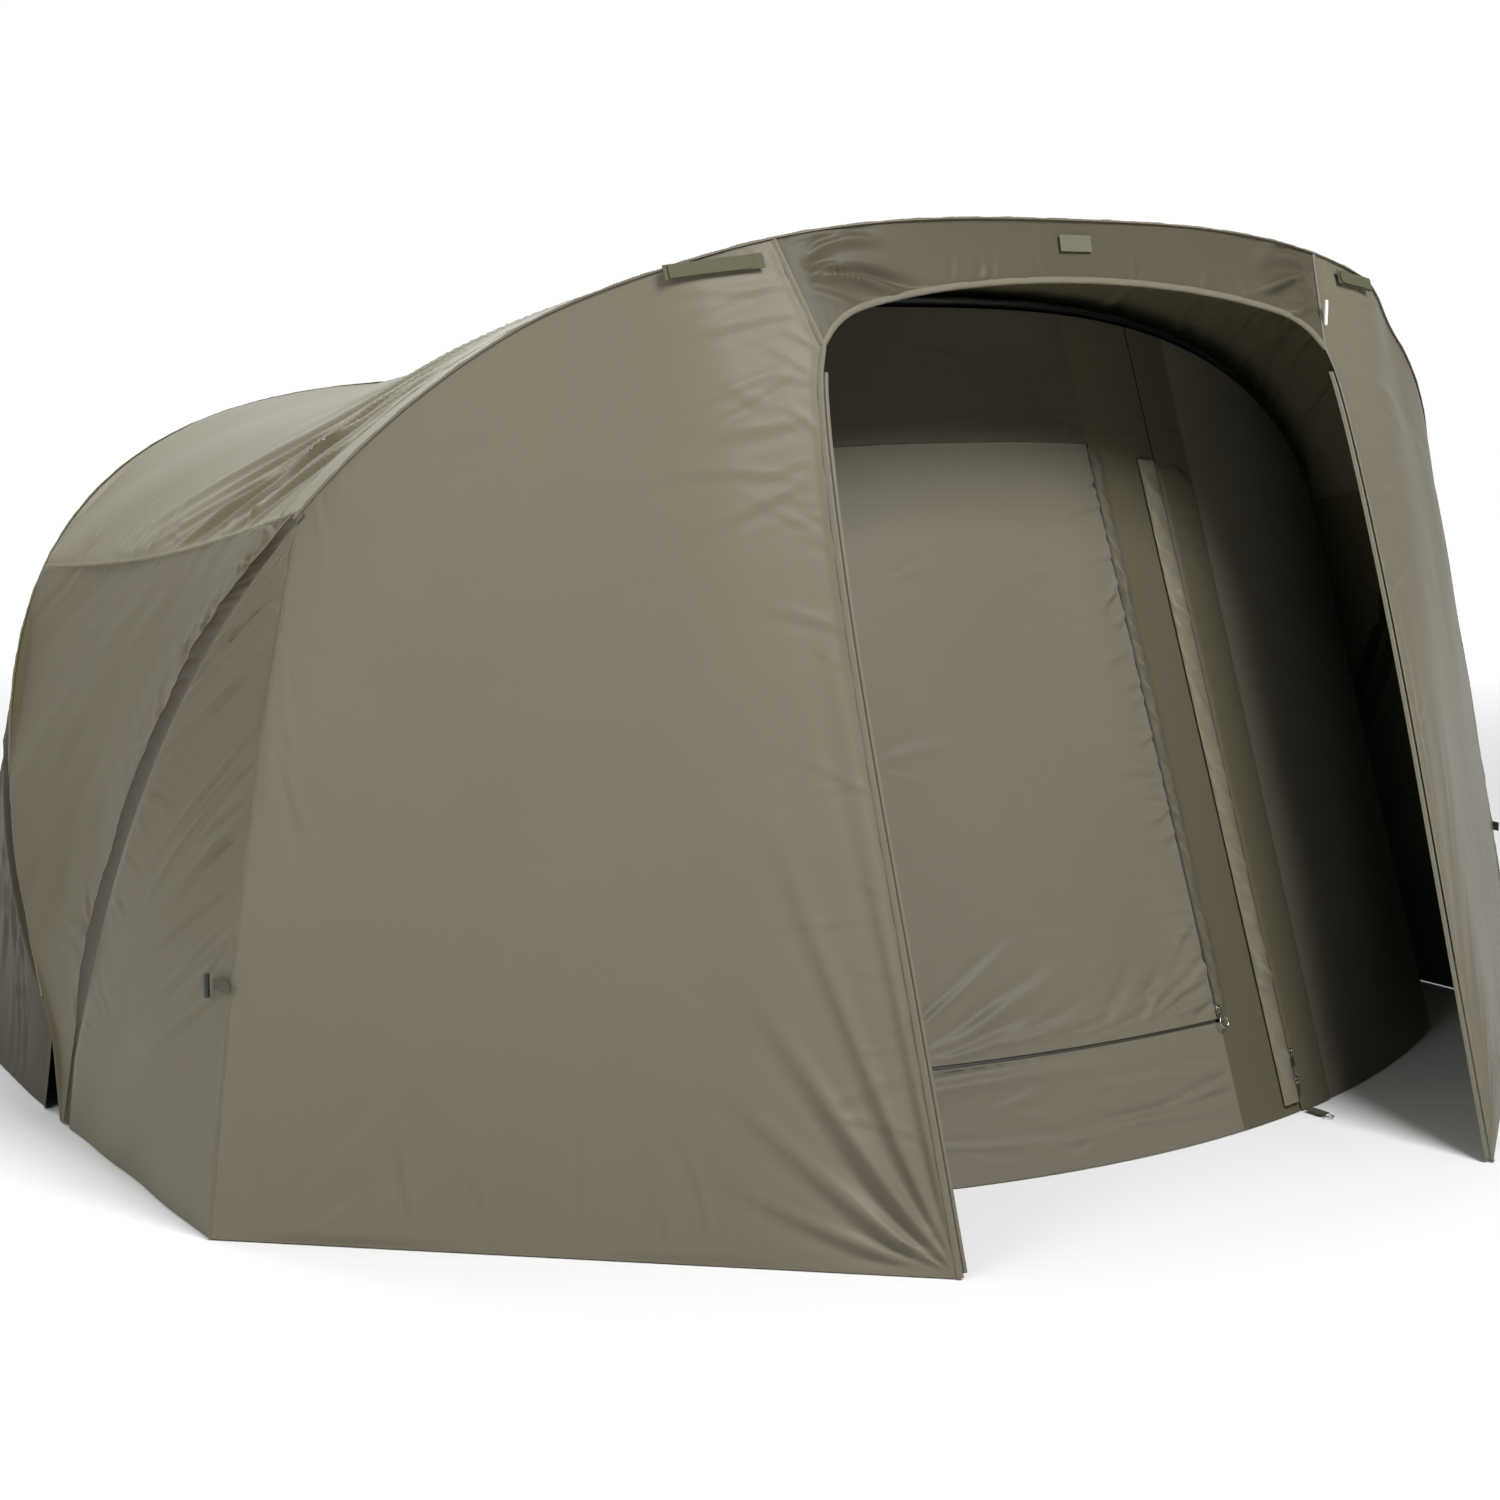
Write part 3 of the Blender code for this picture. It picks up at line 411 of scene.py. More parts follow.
def skirt_relief(s, t):
    """The skirt lies on the ground: long level creases along it."""
    depth = wall_relief(7, 0.001, 0.002, 0.0, 0.003, 0.0030, 0.002)(s, t)
    along = lambda a, b: (float(s.max()) * (0.1 + 0.8 * a), float(t.max()) * (0.15 + 0.7 * b))
    low_folds = creases(s, t, 58, 18, along, (-4, 6), (0.25, 0.75), (0.008, 0.014), 0.0055)
    inset = eased(t / 0.01) * eased((t.max() - t) / 0.015) * eased((s[:, -1:] - s) / 0.04)
    return depth + low_folds * inset


def strip_relief(s, t):
    """The strip between the zips: a loose puckered lip stands over the door zip's edge."""
    wide, share = s[:, -1:], t / t.max()
    lip = np.exp(-((s - 0.012) / 0.0090) ** 2) * eased(s / 0.003)
    lip = lip * eased((share - 0.13) / 0.02) * eased((0.83 - share) / 0.02)
    slant = t * 2 * np.pi / 0.046 + 260 * s + 2.6 * wander(t, 65, 0.15)
    rough = 0.0056 + 0.0030 * wander(t, 64, 0.12) + 0.0042 * fold(slant)
    flat = wall_relief(13, 0.0, 0.002, 0.0, 0.002, 0.0015, 0.0006)(s, t)
    depth = lip * rough + flat * eased((s - 0.02) / 0.02)
    return depth * eased((wide - s) / 0.008)


def facing_relief(s, t):
    """The facing lies 4 mm proud of the wall, down from its rounded top right corner."""
    wide = s[:, -1:]
    tall = t.max()
    top = 0.815 * tall - 0.055 * np.clip((s / wide - 0.25) / 0.75, 0, 1) ** 3
    raised = eased((top - t) / 0.006) * eased((wide - s) / 0.006 + 0.15)
    inset = eased(s / 0.006)
    return (0.0042 * raised + wall_relief(15, 0.002, 0.001, 0.0, 0.001, 0.0015)(s, t)) * inset


SEAM_OVERLAP = 0.0003
SEAM_U = DOOR_ZIP_U + GAP - SEAM_OVERLAP
WALL_TOP = 0.995
panels = (
    ("inner_left_cloth", "inner_wall_left", inner,
     tiled(-1.0, HINGE_U, SILL_V - 0.0004, LINTEL_V, 60, 90), wall_relief(5, 0.002, 0.002, 0.002, 0.002)),
    ("inner_skirt_cloth", "inner_skirt", inner,
     tiled(-1.0, SEAM_U, 0.0, SILL_V - GAP, 240, 44), skirt_relief),
    ("inner_header_cloth", "inner_header", inner_shade,
     tiled(-1.0, SEAM_U, LINTEL_V, WALL_TOP, 170, 44), wall_relief(9, 0.001, 0.002, 0.005, 0.005, 0.008)),
    ("inner_strip_cloth", "inner_strip", inner_dark,
     tiled(DOOR_ZIP_U + GAP, MAIN_ZIP_U - GAP, 0.0, WALL_TOP, 44, 340), strip_relief),
    ("inner_facing_cloth", "inner_facing", inner_dark,
     tiled(MAIN_ZIP_U + GAP, FACING_U, 0.0, WALL_TOP, 24, 220), facing_relief),
    ("inner_right_cloth", "inner_wall_right", inner,
     tiled(FACING_U, 1.0, 0.0, WALL_TOP, 60, 130), wall_relief(17, 0.002, 0.002, 0.0, 0.003, 0.006)),
)
for name, node, look, grid, relief in panels:
    folding(sewn(cloth(name, grid, look, relief), [node]))

DOOR_RIM = 0.0006
door_grid = tiled(HINGE_U + DOOR_RIM, DOOR_ZIP_U - 2 * GAP, SILL_V + 0.0024, LINTEL_V - DOOR_RIM, 190, 250)
door = cloth("inner_door_cloth", door_grid, inner, door_relief)
folding(sewn(door, ["inner_door"], body="door"))


# Inner returns. A triangle of the same nylon closes each end of the inner wall, from its corner
# seam back to the middle rib's leg.
def path_at(points, share):
    """Points at the given shares of a polyline's length."""
    span = np.linalg.norm(np.diff(points, axis=0), axis=1)
    run = np.concatenate([[0.0], np.cumsum(span)])
    return np.stack([np.interp(share * run[-1], run, points[:, k]) for k in range(3)], -1)


def between(left, right, columns):
    """Rows of points stretched between two edges, each given as a column of points."""
    share = np.linspace(0.0, 1.0, columns)[None, :, None]
    return left[:, None, :] * (1 - share) + right[:, None, :] * share


def mirrored(points):
    """The same points on the other side of the shelter."""
    return points * np.array([-1.0, 1.0, 1.0])


corner = wall(np.full(80, -1.0), np.linspace(0.0, 0.965, 80))
leg = arch(WALL, np.linspace(FOOT_TURN, 39.0, 80), RIB_OFFSET)
leg = leg[leg[:, 2] < corner[-1, 2]]
foot = np.array([[-WALL[0] + RIB_OFFSET, HUB_Y - 0.060, GROUND_Z]])
leg = path_at(np.concatenate([foot, leg, corner[-1:]]), np.linspace(0.0, 0.965, 80))
for side, word in ((1, "left"), (-1, "right")):
    grid = between(leg, corner, 36)
    grid = grid if side > 0 else mirrored(grid)
    obj = cloth(f"inner_return_{word}", grid, inner, wall_relief(19 + side, 0.002, 0.002))
    folding(sewn(obj, [f"inner_side_{word}"]))


# Storm flap. A puffy folded lip of the wall's nylon, doubled over and sewn down along one
# edge, so that it stands over the main zip's left side.
# Its colour is painted lighter than the wall's, a painted highlight on the lit lip.
FLAP_TOP_V = 0.815
flap_grid = tiled(FLAP_U + 0.002, MAIN_ZIP_U - 0.0060, 0.012, FLAP_TOP_V, 30, 360)


def flap_relief(s, t):
    """A puffed lip with slanting rumples down its length."""
    across = s / s[:, -1:]
    puff = np.sin(np.pi * across) ** 0.6
    uneven = 0.0070 + 0.0034 * wander(t, 61, 0.16) + 0.0016 * wander(t + 0.02 * across, 62, 0.05)
    slant = t * 2 * np.pi / 0.060 + across * 5.5 + 3.0 * wander(t, 63, 0.2)
    return 0.0046 + puff * uneven + 0.0058 * fold(slant) * puff * (0.7 + 0.3 * wander(t, 66, 0.09))


flap = cloth("storm_flap_cloth", flap_grid, flap_highlight_nylon, flap_relief)
folding(sewn(flap, ["storm_flap"]))


# Inner zips. Coil zips on woven tape behind the cloth edges: one up the door's closing side, one
# along its sill, and the main zip up the wall from the ground.
TOOTH_PITCH = 0.0016


def zip_run(name, points, sideways, look, wide=0.016):
    """A zip along a row of points: flat tape with a round coil standing on its middle."""
    length = float(np.linalg.norm(np.diff(points, axis=0), axis=1).sum())
    share = np.linspace(0, 1, max(int(length / TOOTH_PITCH), 8))
    rows = path_at(points, share)
    cross = path_at(sideways, share)
    cross = cross / np.linalg.norm(cross, axis=1, keepdims=True)
    run = np.gradient(rows, axis=0)
    run = run / np.linalg.norm(run, axis=1, keepdims=True)
    out = np.cross(cross, run)
    out = out * np.sign((out * np.array([0.0, -1.0, 0.35])).sum(1, keepdims=True))
    half = ((-wide / 2, -0.0018), (-0.0030, -0.0018), (-0.0024, -0.0005), (-0.0013, 0.0009))
    profile = np.array([*half, (0.0, 0.0013), *((-x, z) for x, z in reversed(half))])
    tooth = 0.00035 * (np.arange(len(share)) % 2)[:, None]
    lift = profile[None, :, 1] + tooth * (np.abs(profile[None, :, 0]) < 0.0028)
    top = rows[:, None] + cross[:, None] * profile[None, :, 0:1] + out[:, None] * lift[..., None]
    under = rows[:, None] + cross[:, None] * profile[None, :, 0:1] - out[:, None] * 0.0026
    s, t = lengths(top)
    obj = shell(name, top, np.broadcast_to(under, top.shape), s, t, look)
    length = float(np.linalg.norm(np.diff(rows, axis=0), axis=1).sum())
    obj["cut"] = [wide, length, wide * length]
    return obj


coil = grained("zip coil and tape", (0.028, 0.027, 0.022), 0.46, 0.0, 1400.0, 0.0003)
door_run = np.linspace(SILL_V + 0.002, LINTEL_V - 0.004, 60)
sill_run = np.linspace(HINGE_U + 0.004, DOOR_ZIP_U - 0.009, 60)
main_run = np.linspace(0.010, FLAP_TOP_V, 60)
level = wall(0.01, 0.5) - wall(0.0, 0.5)
upward = wall(0.0, 0.6) - wall(0.0, 0.5)
for name, node, line, aside in (
    ("door_zip_coil", "door_zip", wall(np.full(60, DOOR_ZIP_U), door_run), level),
    ("sill_zip_coil", "sill_zip", wall(sill_run, np.full(60, SILL_V)), upward),
    ("main_zip_coil", "main_zip", wall(np.full(60, MAIN_ZIP_U), main_run), level),
):
    obj = zip_run(name, line, np.broadcast_to(aside, line.shape), coil)
    folding(sewn(obj, [node]))


# Inner sliders. Cast zinc bodies, chromed: two plates round the coil, a bridge and a flat
# pull tab; the door's slider carries a wire ring instead of a tab.
def wall_out(u, v):
    """Across, up and outward unit vectors of the inner wall at a point."""
    across = wall(u + 0.01, v) - wall(u - 0.01, v)
    up = wall(u, min(v + 0.02, 1.0)) - wall(u, v)
    across = Vector(across / np.linalg.norm(across))
    up = Vector(up / np.linalg.norm(up))
    out = across.cross(up).normalized()
    return across, up, out


def placed(objs, name, axes, origin):
    """Join pieces drawn flat at the origin, then lay them on the given axes."""
    bpy.ops.object.select_all(action="DESELECT")
    for obj in objs:
        obj.select_set(True)
    bpy.context.view_layer.objects.active = objs[0]
    if len(objs) > 1:
        bpy.ops.object.join()
    made = bpy.context.view_layer.objects.active
    made.name = name
    made.data.name = name
    across, up, out = axes
    turn = Matrix((across, up, out)).transposed().to_4x4()
    made.data.transform(Matrix.Translation(origin) @ turn)
    made.select_set(False)
    return made


def block(low, high, round_off, look):
    """A rounded block between two corners."""
    bpy.ops.object.select_all(action="DESELECT")
    bpy.ops.mesh.primitive_cube_add(size=1.0)
    obj = bpy.context.active_object
    low, high = Vector(low), Vector(high)
    middle = (low + high) / 2
    size = high - low
    for vertex in obj.data.vertices:
        x, y, z = vertex.co
        vertex.co = Vector((x * size.x, y * size.y, z * size.z)) + middle
    bevel = obj.modifiers.new("edge", "BEVEL")
    bevel.width = round_off
    bevel.segments = 3
    bpy.ops.object.modifier_apply(modifier=bevel.name)
    obj.data.materials.append(look)
    obj.data.polygons.foreach_set("use_smooth", [True] * len(obj.data.polygons))
    obj.data.set_sharp_from_angle(angle=math.radians(50))
    return obj


def hoop(radius, wire, look):
    """A wire ring lying flat round the origin."""
    bpy.ops.object.select_all(action="DESELECT")
    bpy.ops.mesh.primitive_torus_add(major_radius=radius, minor_radius=wire,
                                     major_segments=64, minor_segments=16)
    obj = bpy.context.active_object
    obj.data.materials.append(look)
    obj.data.polygons.foreach_set("use_smooth", [True] * len(obj.data.polygons))
    return obj


def slider(name, u, v, look, with_tab):
    """A slider body on the main or the door zip."""
    parts = [
        block((-0.0058, -0.0080, 0.0036), (0.0058, 0.0080, 0.0056), 0.0009, look),
        block((-0.0058, -0.0080, -0.0042), (0.0058, 0.0080, -0.0030), 0.0005, look),
        block((-0.0013, 0.0020, -0.0035), (0.0013, 0.0070, 0.0042), 0.0004, look),
        block((-0.0014, -0.0045, 0.0074), (0.0014, 0.0048, 0.0088), 0.0005, look),
        block((-0.0014, 0.0034, 0.0050), (0.0014, 0.0050, 0.0084), 0.0004, look),
        block((-0.0014, -0.0047, 0.0050), (0.0014, -0.0033, 0.0084), 0.0004, look),
    ]
    if with_tab:
        parts.append(block((-0.0032, -0.0270, 0.0060), (0.0032, -0.0030, 0.0073), 0.0005, look))
    return placed(parts, name, wall_out(u, v), Vector(wall(u, v)))


slider_facts = (
    ("door_slider_body", "door_zip_slider", "door_slider", DOOR_ZIP_U, SILL_V + 0.012, False),
    ("main_slider_top", "main_zip_slider_upper", "main_slider_upper", MAIN_ZIP_U, 0.070, True),
    ("main_slider_low", "main_zip_slider_lower", "main_slider_lower", MAIN_ZIP_U, 0.036, True),
)
for name, node, body, u, v, with_tab in slider_facts:
    obj = slider(name, u, v, steel, with_tab)
    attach(obj, body)
    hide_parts(node)
    folding(obj)

across, up, out = wall_out(DOOR_ZIP_U, SILL_V + 0.006)
centre = Vector(wall(DOOR_ZIP_U, SILL_V + 0.006)) + out * 0.0160 + Vector((0, 0, -0.0150))
level = out.cross(Vector((0, 0, 1))).normalized()
hang_axes = (level, out.cross(level).normalized(), out)
ring_obj = placed([hoop(0.0105, 0.0012, steel)], "door_ring_wire", hang_axes, centre)
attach(ring_obj, "door_ring")
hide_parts("door_ring_puller")
folding(ring_obj)


# Peg loop. A short webbing tab sewn under the foot of the main zip, folded round a steel ring
# that takes a ground peg.
foot = Vector(wall(0.440, 0.0)) + Vector(wall_out(0.440, 0.0)[2]) * 0.006
ring_centre = (foot.x, foot.y - 0.0575, 0.0042)
flat_axes = (Vector((1, 0, 0)), Vector((0, 1, 0)), Vector((0, 0, 1)))
peg_wire = placed([hoop(0.0090, 0.0014, steel)], "peg_ring_wire", flat_axes, Vector(ring_centre))
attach(peg_wire, "peg_loop")
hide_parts("peg_ring")


def woven(name, colour, roughness, rib=0.0021):
    """Woven webbing: short raised ribs across the tape, from its own UVs."""
    made, nodes, links, shader = shader_of(name, colour, roughness)
    flat = nodes.new("ShaderNodeUVMap")
    rows = nodes.new("ShaderNodeTexWave")
    rows.bands_direction = "Y"
    rows.inputs["Scale"].default_value = 1.0 / rib / 6.2832 * 2
    rows.inputs["Distortion"].default_value = 0.6
    rows.inputs["Detail"].default_value = 1.0
    links.new(flat.outputs["UV"], rows.inputs["Vector"])
    bump = nodes.new("ShaderNodeBump")
    bump.inputs["Strength"].default_value = 0.5
    bump.inputs["Distance"].default_value = 0.0006
    links.new(rows.outputs["Fac"], bump.inputs["Height"])
    links.new(bump.outputs["Normal"], shader.inputs["Normal"])
    shade = nodes.new("ShaderNodeMix")
    shade.data_type = "RGBA"
    shade.inputs[6].default_value = (*[c * 0.78 for c in colour], 1.0)
    shade.inputs[7].default_value = (*[min(c * 1.12, 1.0) for c in colour], 1.0)
    links.new(rows.outputs["Fac"], shade.inputs[0])
    links.new(shade.outputs[2], shader.inputs["Base Color"])
    return made


def band(name, centres, sideways, half, look, thick=0.0016):
    """A webbing strip along a line of centre points; sideways holds its unit cross direction."""
    across_share = np.linspace(-1, 1, 13)
    rows = centres[:, None] + sideways[:, None] * (across_share * half)[None, :, None]
    s, t = lengths(rows)
    normal = outward(rows, (0.0, 0.2, 0.4))
    obj = shell(name, rows, rows - normal * thick, s, t, look)
    wide = float(s[:, -1].mean())
    length = float(t[-1].mean())
    wide, length = max(wide, 0.011), max(length, 0.011)
    obj["cut"] = [wide, length, wide * length]
    return obj


dark_web = woven("dark webbing", (0.070, 0.066, 0.045), 0.82)
stations = ((0.048, 0.0052), (0.020, 0.0052), (0.006, 0.0050))
line = np.array([(foot.x, foot.y - back, z) for back, z in stations])
line = path_at(line, np.linspace(0, 1, 30))
peg_band = band("peg_tab_band", line, np.broadcast_to([1.0, 0.0, 0.0], line.shape), 0.0110, dark_web)
sewn(peg_band, ["peg_tab"])


# Front panels. One panel each side of the porch doorway, pulled tight between the crest, the
# ground corner and the foot of the doorway, so long folds run between those points.
# Each arch of the outer cloth is (half width, reach, roundness, tilt, forward bow).
FRONT = (1.462, 1.880, 2.80, 123.3, 0.070)
HEM_Z = 0.0022
APEX_TURN = 37.5
SEAM_TURN = 74.2
CORNER = np.array([-FRONT[0], -0.885, HEM_Z])
DOOR_LINE = -1.650
DOOR_LEAN = 0.314
EDGE_LINE = ((0.567, HEM_Z), (0.572, 0.45), (0.578, 0.82), (0.571, 1.12), (0.556, 1.33), (0.535, 1.39))
olive_front = nylon("front coated nylon", (0.145, 0.131, 0.095), 0.44, 0.8, 0.04)


def smoothed(points, times):
    """Round the corners of a polyline by cutting them, keeping its ends."""
    for _ in range(times):
        low = points[:-1] * 0.75 + points[1:] * 0.25
        high = points[:-1] * 0.25 + points[1:] * 0.75
        points = np.concatenate([points[:1], np.stack([low, high], 1).reshape(-1, 3), points[-1:]])
    return points


def door_side(share):
    """The doorway's left edge and the seam above it, by share of length."""
    x, z = np.array(EDGE_LINE).T
    edge = smoothed(np.stack([-x, DOOR_LINE + DOOR_LEAN * z, z], 1), 3)
    return path_at(np.concatenate([edge, arch(FRONT, SEAM_TURN)[None]]), share)


def apex_seam(share):
    """The seam from the ground corner up to the front apex, left side."""
    share = np.asarray(share)[..., None]
    top = arch(FRONT, APEX_TURN)
    points = CORNER * (1 - share) + top * share
    return points - np.array([0.018, 0.0, 0.0]) * 4 * share * (1 - share)


def coons(low, high, left, right, u=None, v=None):
    """A surface patch from its four edges; u and v are the shares at which they are given."""
    u = (np.linspace(0, 1, len(low)) if u is None else u)[None, :, None]
    v = (np.linspace(0, 1, len(left)) if v is None else v)[:, None, None]
    ruled = low[None] * (1 - v) + high[None] * v + left[:, None] * (1 - u) + right[:, None] * u
    blend = low[0] * (1 - u) * (1 - v) + low[-1] * u * (1 - v) + high[0] * (1 - u) * v + high[-1] * u * v
    return ruled - blend


def canopy(obj, nodes):
    """A panel of the hood or over-wrap, put in its place on the shelter with its own copy of its mesh."""
    return folding(sewn(obj, nodes))


def front_relief(s, t):
    """Long folds that spread from the doorway's foot, with finer ones at every seam."""
    wide, tall = s[:, -1:], t.max()
    toe = float(s[0, -1])
    inset = eased(np.minimum(s, wide - s) / 0.02) * eased(np.minimum(t, t[-1:] - t) / 0.02)
    depth = 0.007 * billow(s, t, 31, 0.80) + 0.0010 * billow(s, t, 32, 0.22)
    depth = depth + fan(s, t, toe, 0.0, 98, 170, 4, 0.14, 0.0130, 33)
    depth = depth + fan(s, t, toe, 0.0, 80, 132, 4, 0.30, 0.0050, 43)
    toe_folds = ((103, 1.10, 0.012, 0.005), (114, 0.85, 0.014, 0.007), (127, 0.60, 0.015, 0.009),
                 (143, 0.50, 0.014, 0.009), (159, 0.42, 0.011, 0.007))
    for heading, long, wide_fold, deep in toe_folds:
        depth = depth + crease(s, t, (toe, 0.0), heading, long, wide_fold, deep, 0.015)
    edge = lambda a, b: (float(np.interp(a * tall, t[:, -1], s[:, -1])), float(a * tall))
    depth = depth + creases(s, t, 44, 36, edge, (140, 215), (0.05, 0.24), (0.0050, 0.009), 0.0019)
    crest_end = lambda a, b: (float(s[-1, -1]) + 0.03, (0.72 + 0.24 * a) * tall)
    depth = depth + creases(s, t, 45, 8, crest_end, (185, 215), (0.22, 0.40), (0.007, 0.013), 0.0042)
    hem_edge = lambda a, b: (toe * (0.25 + 0.55 * a), 0.03)
    depth = depth + creases(s, t, 46, 12, hem_edge, (60, 125), (0.06, 0.20), (0.006, 0.010), 0.0028)
    corner_edge = lambda a, b: (0.01, (0.45 + 0.50 * a) * tall)
    depth = depth + creases(s, t, 47, 11, corner_edge, (-78, -45), (0.14, 0.36), (0.005, 0.010), 0.0022)
    ground_corner = lambda a, b: (0.3 * a, 0.02)
    depth = depth + creases(s, t, 48, 6, ground_corner, (20, 80), (0.15, 0.35), (0.010, 0.016), 0.0032)
    depth = depth + puckers(wide - s, t, 0.030, 0.014, 0.0016, 37)
    depth = depth + puckers(s, t, 0.042, 0.020, 0.0014, 38)
    depth = depth + puckers(t[-1:] - t, s, 0.035, 0.016, 0.0010, 40)
    return depth * inset


front_u = 1 - (1 - np.linspace(0, 1, 200)) ** 1.3
front_v = np.linspace(0, 1, 238) ** 1.15
low = CORNER[None] * (1 - front_u[:, None]) + door_side(0.0)[None] * front_u[:, None]
high = arch(FRONT, APEX_TURN + (SEAM_TURN - APEX_TURN) * front_u)
front_grid = coons(low, high, apex_seam(front_v), door_side(front_v), front_u, front_v)
for side, word in ((1, "left"), (-1, "right")):
    grid = front_grid if side > 0 else mirrored(front_grid)
    obj = cloth(f"front_cloth_{word}", grid, olive_front, front_relief)
    canopy(obj, [f"wrap_front_{word}"])


# Door header. A shallow curved panel of the same coated nylon between the crest and the
# doorway's arched top, slack at both ends where its folds gather.
ARCH_LINE = ((0.535, 1.39), (0.500, 1.430), (0.440, 1.458), (0.247, 1.492), (0.0, 1.505))
# Painted shade: the header is the front panels' fabric, given a much darker colour to stand for the shade on
# it.
header_shade_olive = nylon("header nylon painted shade", (0.072, 0.064, 0.043), 0.46, 0.8, 0.04)


def door_top(share):
    """The doorway's arched top edge from left to right."""
    x, z = np.array(ARCH_LINE).T
    half = np.stack([-x, DOOR_LINE + DOOR_LEAN * z, z], 1)
    whole = smoothed(np.concatenate([half, mirrored(half)[::-1][1:]]), 3)
    return path_at(whole, share)


def header_relief(s, t):
    """Folds that run in from both ends, and a finely gathered lower edge."""
    wide = s[:, -1:]
    tall = t[-1:, :]
    inset = eased(np.minimum(s, wide - s) / 0.015) * eased(np.minimum(t, tall - t) / 0.008)
    depth = 0.0030 * billow(s, t, 71, 0.30)
    right_end = lambda a, b: (float(wide.max()) - 0.01 - 0.06 * a, float(tall.max()) * (0.35 + 0.6 * b))
    depth = depth + creases(s, t, 72, 9, right_end, (185, 225), (0.12, 0.32), (0.006, 0.011), 0.0100)
    left_end = lambda a, b: (0.01 + 0.05 * a, float(tall.max()) * (0.35 + 0.6 * b))
    depth = depth + creases(s, t, 73, 9, left_end, (-45, -5), (0.12, 0.30), (0.006, 0.011), 0.0085)
    door_edge = lambda a, b: (float(wide.max()) * a, 0.006)
    depth = depth + creases(s, t, 76, 14, door_edge, (50, 130), (0.03, 0.07), (0.005, 0.008), 0.0014)
    depth = depth + puckers(t, s, 0.026, 0.014, 0.0010, 74) + puckers(tall - t, s, 0.030, 0.012, 0.0008, 75)
    return depth * inset


share = np.linspace(0.0, 1.0, 260)
rise = np.linspace(0.0, 1.0, 34)
left = door_top(0.0)[None] * (1 - rise[:, None]) + arch(FRONT, SEAM_TURN)[None] * rise[:, None]
crest_line = arch(FRONT, SEAM_TURN + (180 - 2 * SEAM_TURN) * share)
header_grid = coons(door_top(share), crest_line, left, mirrored(left))
header = cloth("door_header_cloth", header_grid, header_shade_olive, header_relief)
canopy(header, ["door_header"])


# Gussets. A narrow triangle of coated nylon each side, sewn in from the corner seam back to the
# front rib's sleeve and crossed by short diagonal pulls.
# Painted shade: the gussets' colour is darker than the front panels' to stand for the shade on them.
gusset_shade_olive = nylon("gusset nylon painted shade", (0.126, 0.113, 0.076), 0.46, 0.8, 0.04)


def gusset_relief(s, t):
    """Short diagonal pulls from both seams."""
    wide = s[:, -1:]
    inset = eased(np.minimum(s, wide - s) / 0.012)
    tall = t.max()
    depth = 0.004 * billow(s, t, 82, 0.35)

    def seam_side(a, b):
        up = float((0.30 + 0.62 * a) * tall)
        return float(np.interp(up, t[:, -1], s[:, -1])) - 0.01, up

    depth = depth + creases(s, t, 81, 26, seam_side, (215, 252), (0.14, 0.34), (0.005, 0.010), 0.0038)
    leg_side = lambda a, b: (0.012, float((0.15 + 0.75 * a) * tall))
    depth = depth + creases(s, t, 83, 18, leg_side, (-60, -20), (0.05, 0.14), (0.005, 0.008), 0.0026)
    depth = depth + puckers(wide - s, t, 0.040, 0.018, 0.0020, 84) + puckers(s, t, 0.055, 0.026, 0.0035, 85)
    return depth * inset * eased(wide / 0.06)


v = np.linspace(0.0, 0.997, 240)
inner_edge = apex_seam(v)
leg = arch(FRONT, np.linspace(FOOT_TURN, APEX_TURN, 120), 0.015)
start = np.array([[-FRONT[0], HUB_Y - 0.040, HEM_Z]])
outer_edge = path_at(np.concatenate([start, leg, apex_seam(1.0)[None]]), v)
gusset_grid = between(outer_edge, inner_edge, 50)
for side, word in ((1, "left"), (-1, "right")):
    grid = gusset_grid if side > 0 else mirrored(gusset_grid)
    obj = cloth(f"gusset_cloth_{word}", grid, gusset_shade_olive, gusset_relief)
    canopy(obj, [f"wrap_gusset_{word}"])


# Crown band. A lighter strip of the same nylon, 0.1 m wide, sewn in right behind the crest.
# The hood behind it hangs between the front and rear arches, a little slack.
REAR = (1.450, 1.645, 2.95, 52.0, 0.0)
BAND_WIDTH = 0.100
ROOF_SAG = 0.050
SIDE_SAG = 0.030
pale = nylon("crown band nylon", (0.180, 0.166, 0.108), 0.38, 0.7, 0.04)


def hood(turn, share):
    """Hood cloth between the front line (share 0) and the rear line (share 1), a little slack."""
    front, rear = arch(FRONT, turn), arch(REAR, turn)
    share = np.asarray(share, float)
    point = front + (rear - front) * share[..., None]
    dip = 4 * share * (1 - share)
    sine = np.sin(np.radians(turn))
    rise = sine ** 1.5
    down = np.array([0.0, HUB_Y, HUB_Z]) - point
    down[..., 0] = 0.0
    down = down / (np.linalg.norm(down, axis=-1, keepdims=True) + 1e-9)
    point = point + down * (ROOF_SAG * rise * dip)[..., None]
    inward = SIDE_SAG * (1 - rise) * dip * np.minimum(1.0, 3 * sine) * np.cos(np.radians(turn))
    point[..., 0] = point[..., 0] + inward
    return point


def hood_grid(low_turn, high_turn, columns, from_front, to_rear, rows):
    """A grid of hood points; the ends are metres behind the front line and before the rear line."""
    turn = np.linspace(low_turn, high_turn, columns)
    span = np.linalg.norm(arch(REAR, turn) - arch(FRONT, turn), axis=1)
    low = from_front / span
    high = to_rear / span if to_rear > 0 else 1 + to_rear / span
    step = np.linspace(0, 1, rows)[:, None]
    share = low[None] * (1 - step) + high[None] * step
    return hood(np.broadcast_to(turn, share.shape), share)


